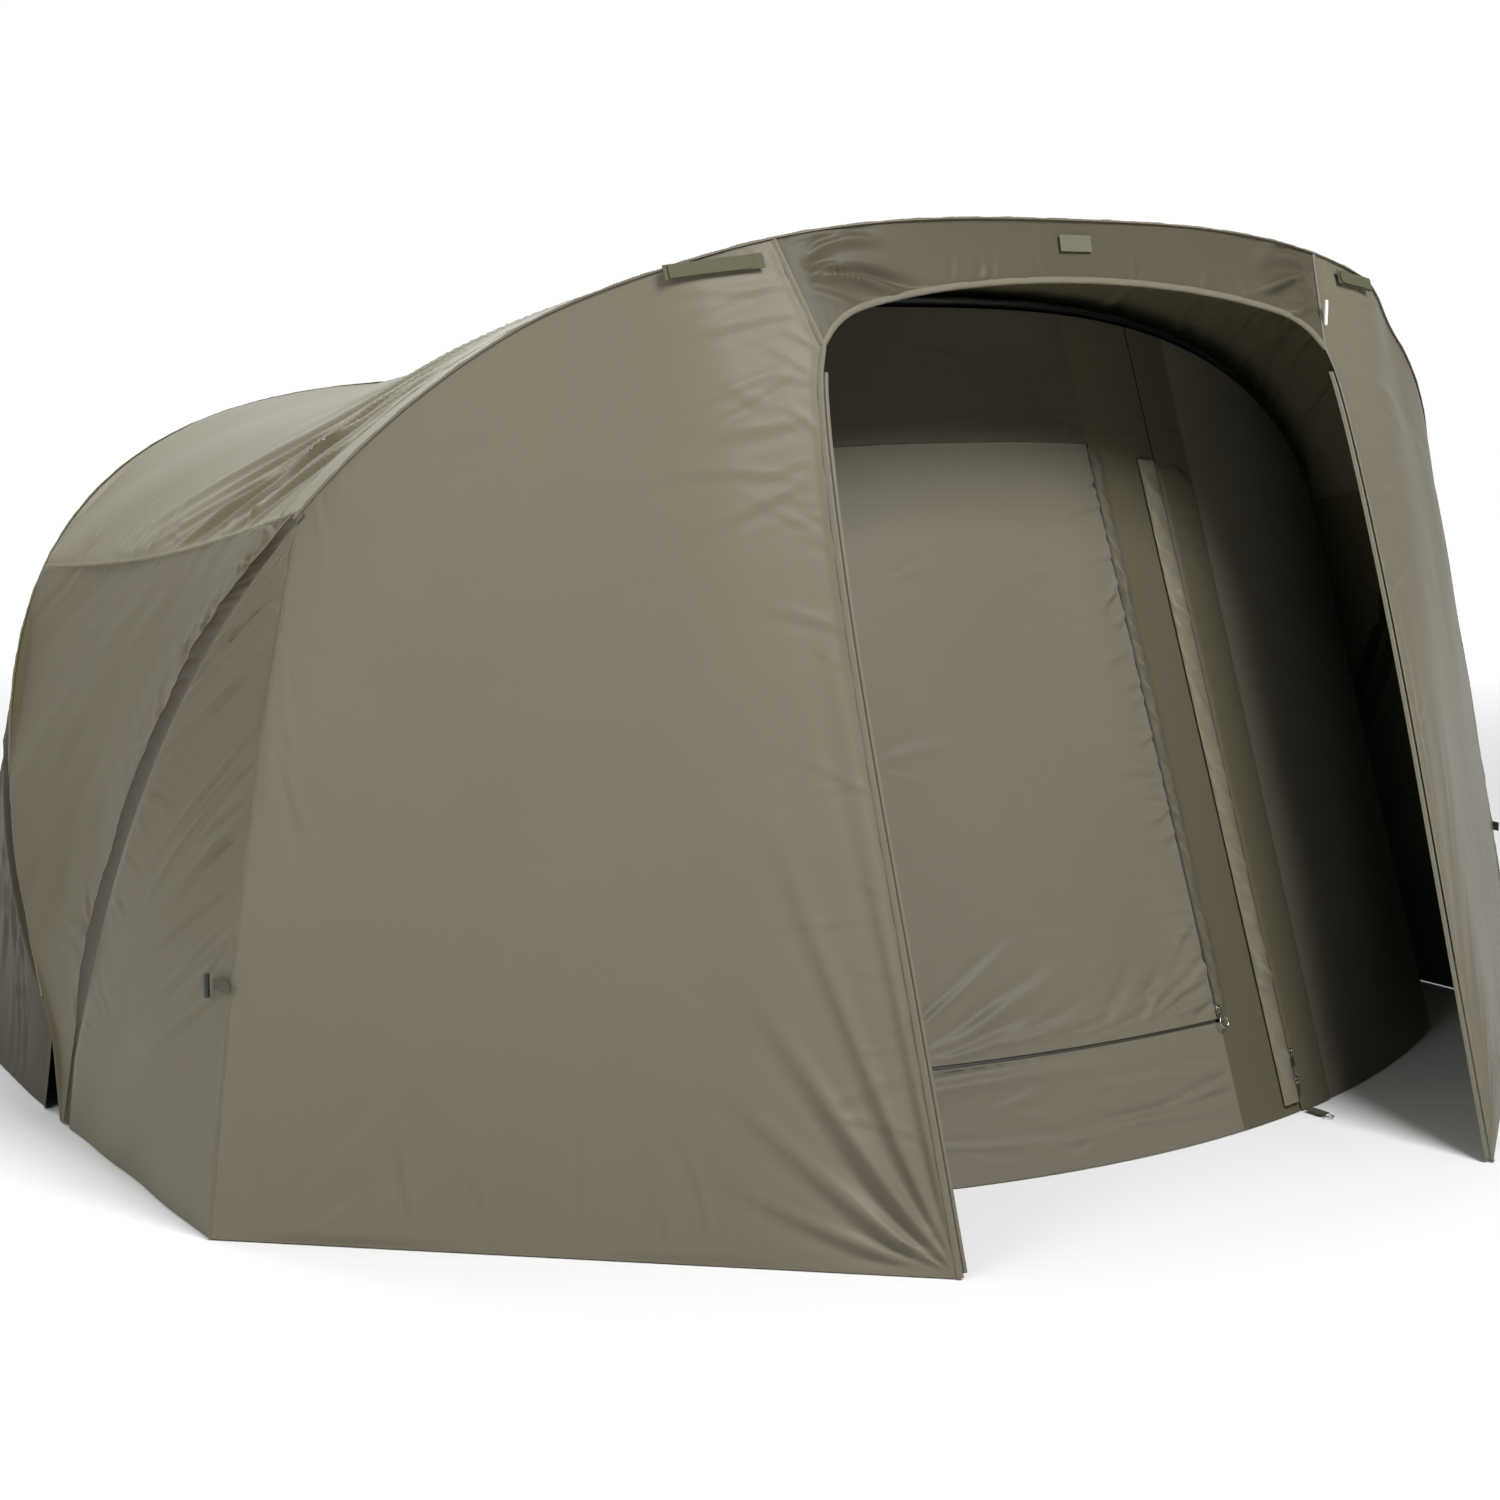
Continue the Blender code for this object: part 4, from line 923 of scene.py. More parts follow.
def band_relief(s, t):
    """Gathers along both of the band's seams."""
    tall = t[-1:, :]
    inset = eased(np.minimum(t, tall - t) / 0.010) * eased(np.minimum(s, s[:, -1:] - s) / 0.02)
    depth = 0.0016 * billow(s, t, 91, 0.25) + puckers(t, s, 0.028, 0.020, 0.0016, 92)
    return (depth + puckers(tall - t, s, 0.036, 0.025, 0.0020, 93)) * inset


crown_grid = hood_grid(APEX_TURN, 180 - APEX_TURN, 360, 0.0006, BAND_WIDTH, 24)
crown = cloth("crown_band_cloth", crown_grid, pale, band_relief)
canopy(crown, ["crown_band"])


# Roof. One wide panel from the crown band back to the rear rib, tight over both ribs and
# slack between them, with long folds that spread from the two front shoulders.
olive = nylon("olive coated nylon", (0.150, 0.134, 0.080), 0.42, 0.8, 0.04)


def roof_relief(s, t):
    """Long folds from the two front shoulders, the same on both sides."""
    wide = s[:, -1:].mean()
    tall = t.max()
    inset = eased(np.minimum(t, t[-1:, :] - t) / 0.03) * eased(np.minimum(s, s[:, -1:] - s) / 0.02)
    depth = 0.010 * billow(s, t, 101, 0.85) + 0.0012 * billow(s, t, 102, 0.25)
    shoulder_folds = ((0.22, 118, 0.50, 0.014, 0.008), (0.40, 126, 0.80, 0.013, 0.010),
                      (0.52, 132, 0.95, 0.012, 0.009), (0.66, 124, 1.10, 0.016, 0.010),
                      (0.80, 118, 0.90, 0.013, 0.007), (0.95, 112, 1.00, 0.020, 0.008))
    for k in (0, 1):
        for start, heading, long, width, deep in shoulder_folds:
            begin = (start if k == 0 else wide - start, 0.01)
            turn = heading if k == 0 else 180 - heading
            depth = depth + crease(s, t, begin, turn, long, width, deep, 0.03)
        near = lambda a, b, k=k: ((0.18 + 0.60 * a) if k == 0 else wide - 0.18 - 0.60 * a, 0.01 + 0.30 * b)
        span = (112, 146) if k == 0 else (34, 68)
        depth = depth + creases(s, t, 103 + k, 30, near, span, (0.25, 0.75), (0.009, 0.015), 0.0046)
        low = lambda a, b, k=k: (0.01 if k == 0 else wide - 0.01, tall * (0.06 + 0.8 * a))
        out = (15, 60) if k == 0 else (120, 165)
        depth = depth + creases(s, t, 113 + k, 26, low, out, (0.06, 0.20), (0.008, 0.012), 0.0034)
    behind_band = lambda a, b: (wide * (0.15 + 0.7 * a), 0.02 + 0.5 * b)
    depth = depth + creases(s, t, 108, 18, behind_band, (70, 110), (0.15, 0.45), (0.010, 0.018), 0.0040)
    depth = depth + puckers(t, s, 0.040, 0.020, 0.0012, 105)
    depth = depth + puckers(t[-1:, :] - t, s, 0.050, 0.030, 0.0018, 106)
    return depth * inset


roof_grid = hood_grid(APEX_TURN, 180 - APEX_TURN, 290, BAND_WIDTH, -0.0006, 170)
roof = cloth("roof_cloth", roof_grid, olive, roof_relief)
canopy(roof, ["roof_panel"])


# Side panels. The triangular flank of the hood each side, from the front rib's sleeve back to
# the rear rib; its top seam is gathered and its middle is sucked in.
# Painted shade: the side panels' colour is much darker than the roof's, standing for the shade on the flanks.
side_shade_olive = nylon("side nylon painted shade", (0.096, 0.083, 0.046), 0.50, 0.8, 0.04)


def side_relief(s, t):
    """Gathers under the top seam and along the sleeve."""
    wide = s[:, -1:]
    top = t[-1:, :] - t
    inset = eased(np.minimum(s, wide - s) / 0.02) * eased(top / 0.012)
    depth = 0.009 * billow(s, t, 121, 0.70) + 0.0010 * billow(s, t, 122, 0.22)
    seam_top = lambda a, b: (float(a * s[-1].max()), float(t.max() - 0.005))
    depth = depth + creases(s, t, 124, 24, seam_top, (245, 295), (0.05, 0.14), (0.008, 0.012), 0.0048)
    depth = depth + creases(s, t, 125, 10, seam_top, (215, 260), (0.20, 0.45), (0.010, 0.018), 0.0040)
    sleeve_side = lambda a, b: (0.012, float((0.15 + 0.8 * a) * t.max()))
    depth = depth + creases(s, t, 126, 22, sleeve_side, (-30, 40), (0.05, 0.16), (0.008, 0.012), 0.0046)
    depth = depth + puckers(top, s, 0.045, 0.025, 0.0022, 123) + puckers(s, t, 0.060, 0.028, 0.0038, 127)
    return depth * inset * eased(wide / 0.12)


GROOVE = 0.070


def room_at(turn):
    """How far open the sleeve's groove is along the leg, closing at the ground and the apex."""
    uneven = 1.0 + 0.16 * wander(turn, 175, 5.0) + 0.10 * wander(turn, 176, 1.6)
    return uneven * eased((turn - 1.0) / 5.0) * (0.35 + 0.65 * eased((APEX_TURN - turn) / 9.0))


turn = np.linspace(FOOT_TURN, APEX_TURN, 170)
span = np.linalg.norm(arch(REAR, turn) - arch(FRONT, turn), axis=1)
step = np.linspace(0, 1, 150)
share = (GROOVE * room_at(turn) / span)[:, None] * (1 - step)[None] + (1 - 0.001 / span)[:, None] * step[None]
flank = hood(np.broadcast_to(turn[:, None], share.shape), share)
hem = np.stack([np.full(150, -FRONT[0]), HUB_Y + np.linspace(-0.006, 0.014, 150), np.full(150, HEM_Z)], 1)
flank = np.concatenate([hem[None] * (1 - k) + flank[:1] * k for k in np.linspace(0, 1, 12)[:-1]] + [flank])
for side, word in ((1, "left"), (-1, "right")):
    grid = flank if side > 0 else mirrored(flank)
    obj = cloth(f"side_cloth_{word}", grid, side_shade_olive, side_relief)
    canopy(obj, [f"side_panel_{word}"])


# Rear panels. Three panels of the same coated nylon, sewn to the hood along the rear rib,
# that drop to a curved hem on the ground.
# Painted shade: the rear panels are the same fabric, given a far darker colour for the shade they stand in.
shaded = nylon("rear nylon painted shade", (0.048, 0.039, 0.023), 0.56, 0.8, 0.06)
REAR_REACH = 1.776
REAR_ROUND = 2.60


def back_hem(turn):
    """The rear panels' hem on the ground."""
    angle = np.radians(turn)
    along = np.cos(angle)
    x = -np.sign(along) * FRONT[0] * np.abs(along) ** (2 / REAR_ROUND)
    y = HUB_Y + REAR_REACH * np.abs(np.sin(angle)) ** (2 / REAR_ROUND)
    return np.stack([x, y, np.full_like(x, HEM_Z)], -1)


def back_grid(low_turn, high_turn, columns, rows):
    """A grid of rear panel points from the rear rib down to the hem, a little bellied."""
    turn = np.linspace(low_turn, high_turn, columns)
    top, hem = arch(REAR, turn), back_hem(turn)
    share = np.linspace(0, 1, rows)[:, None, None]
    share = 0.0008 + share * 0.9992
    point = top[None] * (1 - share) + hem[None] * share
    toward = np.array([0.0, 1.0, 0.4]) - point
    toward = toward / np.linalg.norm(toward, axis=2, keepdims=True)
    return point + toward * 0.03 * 4 * share * (1 - share) * np.sin(np.radians(turn))[None, :, None]


def rear_relief(s, t):
    """Soft folds that hang from the rear rib."""
    wide, tall = s[:, -1:], t[-1:, :]
    inset = eased(np.minimum(s, wide - s) / 0.02) * eased(t / 0.02)
    depth = 0.012 * billow(s, t, 131, 0.8) + puckers(t, s, 0.05, 0.03, 0.002, 132)
    rib_edge = lambda a, b: (float(wide.max()) * a, 0.01)
    depth = depth + creases(s, t, 133, 26, rib_edge, (60, 120), (0.15, 0.6), (0.008, 0.018), 0.005)
    depth = depth + puckers(s, t, 0.06, 0.03, 0.0015, 134) + puckers(wide - s, t, 0.06, 0.03, 0.0015, 135)
    return depth * inset * eased((tall - t + 0.05) / 0.1)


split = APEX_TURN + 1.5
for name, node, low_turn, high_turn, columns in (
    ("rear_cloth_left", "rear_panel_left", FOOT_TURN, split, 90),
    ("rear_cloth_centre", "rear_panel_centre", split, 180 - split, 200),
    ("rear_cloth_right", "rear_panel_right", 180 - split, 180 - FOOT_TURN, 90),
):
    obj = cloth(name, back_grid(low_turn, high_turn, columns, 80), shaded, rear_relief)
    canopy(obj, [node])


# Rib sleeves. A narrow sewn tunnel of coated nylon round each front leg, drawn up along it so
# that it lies in tight gathers.
def tunnel(name, path, radius, look, seed):
    """A gathered cloth tube round a path, as a closed double wall."""
    share = np.linspace(0, 1, 400)
    centre = path_at(path, share)
    run = np.gradient(centre, axis=0)
    run = run / np.linalg.norm(run, axis=1, keepdims=True)
    side = np.cross(run, [1.0, 0.2, 0.1])
    side = side / np.linalg.norm(side, axis=1, keepdims=True)
    rise = np.cross(run, side)
    length = np.linalg.norm(np.diff(path, axis=0), axis=1).sum()
    around = np.linspace(0, 2 * np.pi, 33)[:-1]
    along = (share * length)[:, None]
    slant = along * 2 * np.pi / 0.024 + 1.4 * np.sin(around)[None] + 2 * wander(along, seed, 0.2)
    swell = 0.0022 * fold(slant)
    swell = swell + 0.0016 * wander(along + 0.02 * np.cos(around)[None], seed + 1, 0.06)
    outer_r = radius + np.maximum(swell, -0.0008) + 0.0026 * np.maximum(np.cos(around - 2.2), 0)[None] ** 2
    spoke = side[:, None] * np.cos(around)[None, :, None] + rise[:, None] * np.sin(around)[None, :, None]
    outer = centre[:, None] + spoke * outer_r[..., None]
    inner_wall = centre[:, None] + spoke * (radius - 0.0012)
    rows, columns = outer.shape[:2]
    count = rows * columns
    index = np.arange(count).reshape(rows, columns)
    after = np.roll(index, -1, axis=1)
    quads = [np.stack([index[:-1], after[:-1], after[1:], index[1:]], -1).reshape(-1, 4)]
    quads.append(quads[0][:, ::-1] + count)
    for end, turn_round in ((0, True), (-1, False)):
        cap = np.stack([index[end], after[end], after[end] + count, index[end] + count], -1)
        quads.append(cap[:, ::-1] if turn_round else cap)
    quads = np.concatenate(quads)
    points = np.concatenate([outer.reshape(-1, 3), inner_wall.reshape(-1, 3)])
    mesh = bpy.data.meshes.new(name)
    mesh.from_pydata(points.tolist(), [], quads.tolist())
    mesh.polygons.foreach_set("use_smooth", [True] * len(mesh.polygons))
    mesh.materials.append(look)
    girth = np.broadcast_to(around * radius, (rows, columns))
    flat = np.stack([girth.ravel(), np.broadcast_to(along, (rows, columns)).ravel()], 1)
    flat = np.concatenate([flat, flat])
    layer = mesh.uv_layers.new(name="UVMap")
    layer.data.foreach_set("uv", flat[quads.ravel()].astype(np.float32).ravel())
    obj = bpy.data.objects.new(name, mesh)
    bpy.context.scene.collection.objects.link(obj)
    around_len = 2 * np.pi * radius * 1.05
    obj["cut"] = [float(around_len), float(length), float(around_len * length)]
    return obj


FRONT_RIB = (1.430, 1.856, 2.80, 123.3, 0.070)
# Painted shade: the sleeve cloth's dark colour stands for the shade in the groove round each leg.
sleeve_shade_nylon = nylon("sleeve nylon painted shade", (0.047, 0.036, 0.019), 0.58, 1.0, 0.08)
run = np.concatenate([arch(FRONT_RIB, 0.9)[None], arch(FRONT_RIB, np.linspace(FOOT_TURN, 32.0, 100))])
for side, word in ((1, "left"), (-1, "right")):
    path = run if side > 0 else mirrored(run)
    obj = tunnel(f"sleeve_shade_nylon_{word}", path, 0.0117, sleeve_shade_nylon, 141)
    volume = sum(face.center.dot(face.normal) * face.area for face in obj.data.polygons)
    if volume < 0:
        obj.data.flip_normals()
    sewn(obj, [f"rib_sleeve_{word}"], body="front_rib")


# Sleeve webs. The sleeve's own cloth spreads each way to the gusset and the side panel, so the
# leg lies in a puckered groove between them, darkened by painted shade in the cloth's colour.
def web_grid(side):
    """Rows across the groove from the gusset's edge to the side panel's edge."""
    rows = 420
    fore = path_at(np.concatenate([start, leg]), np.linspace(0.004, 1.0, rows))
    turn = np.linspace(FOOT_TURN, APEX_TURN, rows)
    reach = np.linalg.norm(arch(REAR, turn) - arch(FRONT, turn), axis=1)
    side_edge = hood(turn, (0.002 + GROOVE * room_at(turn)) / reach)
    aft = path_at(np.concatenate([hem[:1], side_edge]), np.linspace(0.004, 1.0, rows))
    grid = between(fore, aft, 20)
    across = np.linspace(0.0, 1.0, 20)[None, :, None]
    length = np.linspace(0, 1.7, rows)[:, None]
    middle = arch(FRONT_RIB, turn)
    inward = middle - (fore + aft) / 2
    inward = inward / (np.linalg.norm(inward, axis=1, keepdims=True) + 1e-9)
    sink = np.sin(np.pi * across[..., 0]) ** 0.7
    slant = length * 2 * np.pi / 0.048 + 6.0 * across[..., 0] + 2.2 * wander(length, 171, 0.25)
    gather = 0.0095 * fold(slant) * (0.55 + 0.45 * wander(length, 172, 0.12))
    up_leg = np.linspace(0, 1, rows)[:, None]
    room = eased((1.0 - up_leg) / 0.10) * eased(up_leg / 0.05)
    grid = grid + inward[:, None, :] * (sink * (0.0170 * room - gather * room))[..., None]
    return grid if side > 0 else mirrored(grid)


for side, word in ((1, "left"), (-1, "right")):
    obj = cloth(f"sleeve_web_{word}", web_grid(side), sleeve_shade_nylon)
    canopy(obj, [])


# Seam tapes. A narrow folded strip of the panels' own nylon, stitched down over every main
# seam of the outer cloth and round the doorway.
def seam(name, points, sideways, look, half, stand, seed):
    """A raised stitched strip along a row of points."""
    length = np.linalg.norm(np.diff(points, axis=0), axis=1).sum()
    share = np.linspace(0, 1, max(int(length / 0.003), 8))
    centre = path_at(points, share)
    cross = path_at(sideways, share)
    run = np.gradient(centre, axis=0)
    run = run / np.linalg.norm(run, axis=1, keepdims=True)
    cross = cross - run * (cross * run).sum(1, keepdims=True)
    cross = cross / np.linalg.norm(cross, axis=1, keepdims=True)
    out = np.cross(run, cross)
    middle = np.array([0.0, 0.1, 0.5])
    out = out * np.sign((out * (centre - middle)).sum(1, keepdims=True))
    profile = np.array([-1.0, -0.75, -0.4, 0.0, 0.4, 0.75, 1.0])
    hump = np.array([-0.9, 0.55, 1.0, 0.80, 1.0, 0.55, -0.9]) * stand
    stitch = 0.00045 * np.cos(share * length * 2 * np.pi / 0.0065)[:, None] * (np.abs(profile) == 0.4)
    ripple = 0.0008 * wander(share * length, seed + 200, 0.05)[:, None]
    lift = hump[None] + stitch + ripple * (np.abs(profile) < 0.9)
    flat = centre[:, None] + cross[:, None] * (profile * half)[None, :, None]
    top = flat + out[:, None] * lift[..., None]
    under = flat - out[:, None] * 0.0019
    s, t = lengths(top)
    obj = shell(name, top, np.broadcast_to(under, top.shape), s, t, look)
    wide = max(2 * half + 2 * stand, 0.0105)
    obj["cut"] = [wide, float(length), wide * float(length)]
    return obj


def crossing(points, toward):
    """Unit directions from a row of points toward a second row."""
    aim = toward - points
    return aim / (np.linalg.norm(aim, axis=1, keepdims=True) + 1e-9)


v = np.linspace(0.0, 1.0, 200)
corner_seam, door_seam = apex_seam(v), door_side(v)
CREST_PAST_APEX = 0.7
crest_turn = np.linspace(APEX_TURN - CREST_PAST_APEX, 180 + CREST_PAST_APEX - APEX_TURN, 260)
crest = arch(FRONT, crest_turn)
behind = hood(crest_turn, np.full(260, 0.08))
turn = np.linspace(APEX_TURN, 180 - APEX_TURN, 260)
span = np.linalg.norm(arch(REAR, turn) - arch(FRONT, turn), axis=1)
band_line = hood(turn, BAND_WIDTH / span)
rear_line = arch(REAR, np.linspace(3.0, 177.0, 300))
flank_share = np.linspace(0.0, 1.0, 200)
flank_line = hood(np.full(200, APEX_TURN), flank_share)
above = hood(np.full(200, APEX_TURN + 1.0), flank_share)
EDGE_HALF = 0.0062
items = [
    ("seam_crest", crest, crossing(crest, behind), olive_front, 0.0052, 0.0018),
    ("seam_band", band_line, crossing(band_line, crest), pale, 0.0045, 0.0012),
    ("seam_rear_rib", rear_line, np.broadcast_to([0.0, 0.6, -0.8], rear_line.shape), olive,
     0.0050, 0.0014),
]
for side, word in ((1, "left"), (-1, "right")):
    turned = (lambda p: p) if side > 0 else mirrored
    for name, points, aside, look, half, stand in (
        (f"seam_corner_{word}", corner_seam, crossing(corner_seam, door_seam), gusset_shade_olive,
         0.0036, 0.0012),
        (f"seam_flank_{word}", flank_line, crossing(flank_line, above), olive, 0.0046, 0.0016),
        (f"seam_door_{word}", door_seam, crossing(door_seam, corner_seam), olive_front,
         EDGE_HALF, 0.0020),
    ):
        items.append((name, turned(points), turned(aside), look, half, stand))
for count, (name, points, aside, look, half, stand) in enumerate(items):
    obj = seam(name, points, np.asarray(aside), look, half, stand, seed=count * 7)
    canopy(obj, [])
arch_line = door_top(np.linspace(0.0, 1.0, 200))
aside = np.broadcast_to([0.0, 0.3, 0.95], arch_line.shape)
obj = seam("seam_door_top", arch_line, aside, olive_front, EDGE_HALF, 0.0020, 91)
canopy(obj, [])


# Porch zips. One half of a coil zip is sewn along each side of the doorway, where the
# porch's own door panel (not fitted here) would close.
olive_coil = grained("olive coil and tape", (0.138, 0.125, 0.088), 0.50, 0.0, 1400.0, 0.0003)
v = np.linspace(0.004, 0.93, 200)
edge = door_side(v) + np.array([0.0115, -0.0004, 0.0])
edge = edge[edge[:, 2] < 1.350]
for side, word in ((1, "left"), (-1, "right")):
    points = edge if side > 0 else mirrored(edge)
    aside = np.broadcast_to([float(side), 0.0, 0.0], points.shape)
    obj = zip_run(f"porch_coil_{word}", points, aside, olive_coil, wide=0.0110)
    canopy(obj, [f"porch_zip_{word}"])


# Crown straps. Pale webbing sewn along the crest each side, with a loose end folded over into
# a rounded tip that lifts.
pale_web = woven("pale webbing", (0.075, 0.073, 0.036), 0.78)


def panel_axes(u, v):
    """Across, up, outward and the point itself on the left front panel, above its middle."""
    last_row, last_column = len(front_grid) - 1, len(front_grid[0]) - 1
    column, row = int(np.searchsorted(front_u, u)), min(int(np.searchsorted(front_v, v)), last_row)
    point = front_grid[row, column]
    across = front_grid[row, min(column + 3, last_column)] - front_grid[row, column - 3]
    rise = front_grid[min(row + 3, last_row), column] - front_grid[row - 4, column]
    across = Vector(across).normalized()
    out = across.cross(Vector(rise)).normalized()
    return across, out.cross(across).normalized(), out, Vector(point)


across, up, out, strap_point = panel_axes(0.878, 0.985)
STRAP_TURN = -0.16


def strap(name, side, low, high, half, stand, thick, look, rounded=False):
    """A flat strap piece drawn on the left panel and mirrored for the right one."""
    long = across * math.cos(STRAP_TURN) + up * math.sin(STRAP_TURN)
    cross = up * math.cos(STRAP_TURN) - across * math.sin(STRAP_TURN)
    x = np.linspace(low, high, 60)
    centre = np.array(strap_point + out * 0.0045)[None] + np.array(long)[None] * x[:, None]
    centre = centre + np.array(out)[None] * (stand + 0.0008 * wander(x, 151, 0.08))[:, None]
    width = np.full_like(x, half)
    if rounded:
        from_tip = np.minimum(high - x, half)
        width = np.sqrt(np.maximum(half ** 2 - (half - from_tip) ** 2, (half * 0.18) ** 2))
    sides = np.linspace(-1, 1, 13)
    rows = centre[:, None] + np.array(cross)[None, None] * (width[:, None] * sides[None])[..., None]
    rows = rows + np.array(out)[None, None] * (0.0004 * (1 - sides ** 4))[None, :, None]
    if side > 0:
        rows = mirrored(rows)
    s, t = lengths(rows)
    normal = outward(rows, (0.0, 0.3, 0.3))
    obj = shell(name, rows, rows - normal * thick, s, t, look)
    obj["cut"] = [2 * half, float(high - low), float(2 * half * (high - low))]
    return obj


for side, word, base, tab in ((-1, "left", 0.165, 0.150), (1, "right", 0.110, 0.110)):
    low, high = -base / 2, base / 2
    obj = strap(f"strap_base_web_{word}", side, low, high, 0.0125, 0.0018, 0.0016, pale_web)
    canopy(obj, [f"strap_base_{word}"])
    near, far = -tab / 2, tab * 0.36 + 0.011
    tip = strap(f"strap_tab_web_{word}", side, near, far, 0.0112, 0.0046, 0.0018, pale_web, True)
    folding(sewn(tip, [f"strap_tab_{word}"], body=f"strap_{word}"))


# Header patch. A small plain woven patch, stitched flat on the middle of the door header;
# it carries no mark.
PATCH_WIDE = 0.066
PATCH_TALL = 0.028
patch_web = woven("plain patch", (0.115, 0.112, 0.074), 0.70, 0.0012)
top, low_edge = Vector(arch(FRONT, 90.0)), Vector(door_top(0.5))
middle = low_edge.lerp(top, 0.60)
up_vec = (top - low_edge).normalized()
out_vec = Vector((1, 0, 0)).cross(up_vec).normalized()
x = np.linspace(-PATCH_WIDE / 2, PATCH_WIDE / 2, 24)[None, :, None]
y = np.linspace(-PATCH_TALL / 2, PATCH_TALL / 2, 12)[:, None, None]
rows = np.array(middle + out_vec * 0.0046) + x * np.array([1.0, 0.0, 0.0]) + y * np.array(up_vec)
s, t = lengths(rows)
normal = outward(rows, (0.0, 0.3, 0.3))
obj = shell("header_patch_web", rows, rows - normal * 0.0014, s, t, patch_web)
obj["cut"] = [PATCH_WIDE, PATCH_TALL, PATCH_WIDE * PATCH_TALL]
canopy(obj, ["header_patch"])


# Porch puller. A short pull of white braided cord, its ends melted round, that hangs from the
# top right corner of the doorway.
PULL_RADIUS = 0.0035
PULL_LENGTH = 0.046
braid = woven("white braid", (0.700, 0.690, 0.640), 0.62, 0.0016)
top = Vector((0.5463, -1.1985, 1.475))
around = np.linspace(0, 2 * np.pi, 25)[:-1]
drop = np.linspace(0, 1, 40)
near_end = np.maximum(np.abs(drop - 0.5) * 2 - 0.86, 0) / 0.14
body_r = PULL_RADIUS * np.minimum(1.0, np.sqrt(np.maximum(1 - near_end ** 2, 0.05)))
points = [(top.x + r * math.cos(a), top.y + r * math.sin(a), top.z - PULL_LENGTH * d)
          for d, r in zip(drop, body_r) for a in around]
faces = []
for k in range(39):
    for j in range(24):
        a, b = k * 24 + j, k * 24 + (j + 1) % 24
        faces.append((a, a + 24, b + 24, b))
faces.append(tuple(range(24)))
faces.append(tuple(range(39 * 24 + 23, 39 * 24 - 1, -1)))
mesh = bpy.data.meshes.new("porch_cord")
mesh.from_pydata(points, [], faces)
layer = mesh.uv_layers.new(name="UVMap")
for loop in mesh.loops:
    x, y, z = mesh.vertices[loop.vertex_index].co
    layer.data[loop.index].uv = (math.atan2(y - top.y, x - top.x) * PULL_RADIUS, z)
mesh.polygons.foreach_set("use_smooth", [True] * len(mesh.polygons))
mesh.materials.append(braid)
cord = bpy.data.objects.new("porch_cord", mesh)
bpy.context.scene.collection.objects.link(cord)
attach(cord, "porch_pull")
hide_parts("porch_puller")
folding(cord)


# Side tabs and toggles. A webbing loop on each corner seam holds a short turned toggle for
# hanging the rolled front.
seam_at = Vector(apex_seam(0.345))
back = Vector((-FRONT[0], HUB_Y - 0.04, 0.38))
along = (back - seam_at).normalized()
out_side = Vector((-1, 0, 0))
out_side = (out_side - along * out_side.dot(along)).normalized()
up_side = along.cross(out_side).normalized()
if up_side.z < 0:
    up_side = -up_side
for side, word in ((1, "left"), (-1, "right")):
    x = np.linspace(0.0, 0.055, 40)
    start = seam_at + out_side * 0.0093 - along * 0.010
    centre = np.array(start)[None] + np.array(along)[None] * x[:, None]
    aside = np.broadcast_to(np.array(up_side), centre.shape)
    if side < 0:
        centre, aside = mirrored(centre), mirrored(aside)
    obj = band(f"side_tab_web_{word}", centre, aside, 0.009, dark_web, 0.0016)
    canopy(obj, [f"side_tab_{word}"])
    bpy.ops.object.select_all(action="DESELECT")
    bpy.ops.mesh.primitive_cylinder_add(vertices=48, radius=0.0050, depth=0.040)
    peg = bpy.context.active_object
    edge_round = peg.modifiers.new("edge", "BEVEL")
    edge_round.width = 0.0016
    edge_round.segments = 4
    edge_round.limit_method = "ANGLE"
    bpy.ops.object.modifier_apply(modifier=edge_round.name)
    spot = seam_at + along * 0.054 + Vector((-0.0165, 0.0, -0.004))
    peg.data.transform(Matrix.Translation(Vector((spot.x * side, spot.y, spot.z))))
    peg.name = f"toggle_peg_{word}"
    peg.data.materials.append(moulded)
    peg.data.polygons.foreach_set("use_smooth", [True] * len(peg.data.polygons))
    peg.data.set_sharp_from_angle(angle=math.radians(50))
    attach(peg, f"toggle_{word}")
    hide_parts(f"side_toggle_{word}")
    folding(peg)


# Groundsheet. A heavy dark coated sheet laid loose on the ground, from the inner wall to the
# rear hem.
ground = nylon("groundsheet", (0.050, 0.052, 0.046), 0.62, 1.4, 0.10)
u = np.linspace(-1.0, 1.0, 100)
fore = wall(u, 0.0)
fore = np.stack([fore[:, 0] * 0.985, fore[:, 1] + 0.03], 1)
aft = back_hem(np.linspace(14.0, 166.0, 100))
aft = np.stack([np.clip(aft[:, 0] * 0.95, -1.33, 1.33), HUB_Y + (aft[:, 1] - HUB_Y) * 0.96], 1)
step = np.linspace(0, 1, 100)[:, None]
bulge = 4 * step * (1 - step)
flat = fore[None] * (1 - step[..., None]) + aft[None] * step[..., None]
flat[..., 0] = flat[..., 0] + (u * 1.33 - flat[..., 0]) * bulge ** 0.5 * 0.9
height = 0.0031 + 0.0022 * np.maximum(billow(flat[..., 0], flat[..., 1], 161, 0.35), 0) * eased(bulge * 6)
grid = np.concatenate([flat, height[..., None]], 2)
s, t = lengths(grid)
under = grid.copy()
under[..., 2] = 0.0016
obj = shell("groundsheet_cloth", grid, under, s, t, ground)
corner = grid[:-1, :-1]
face = np.cross(grid[:-1, 1:] - corner, grid[1:, :-1] - corner)
wide, long = float(s[:, -1].max()), float(t[-1].max())
obj["cut"] = [wide, long, min(float(np.linalg.norm(face, axis=2).sum()), wide * long)]
sewn(obj, ["groundsheet"])


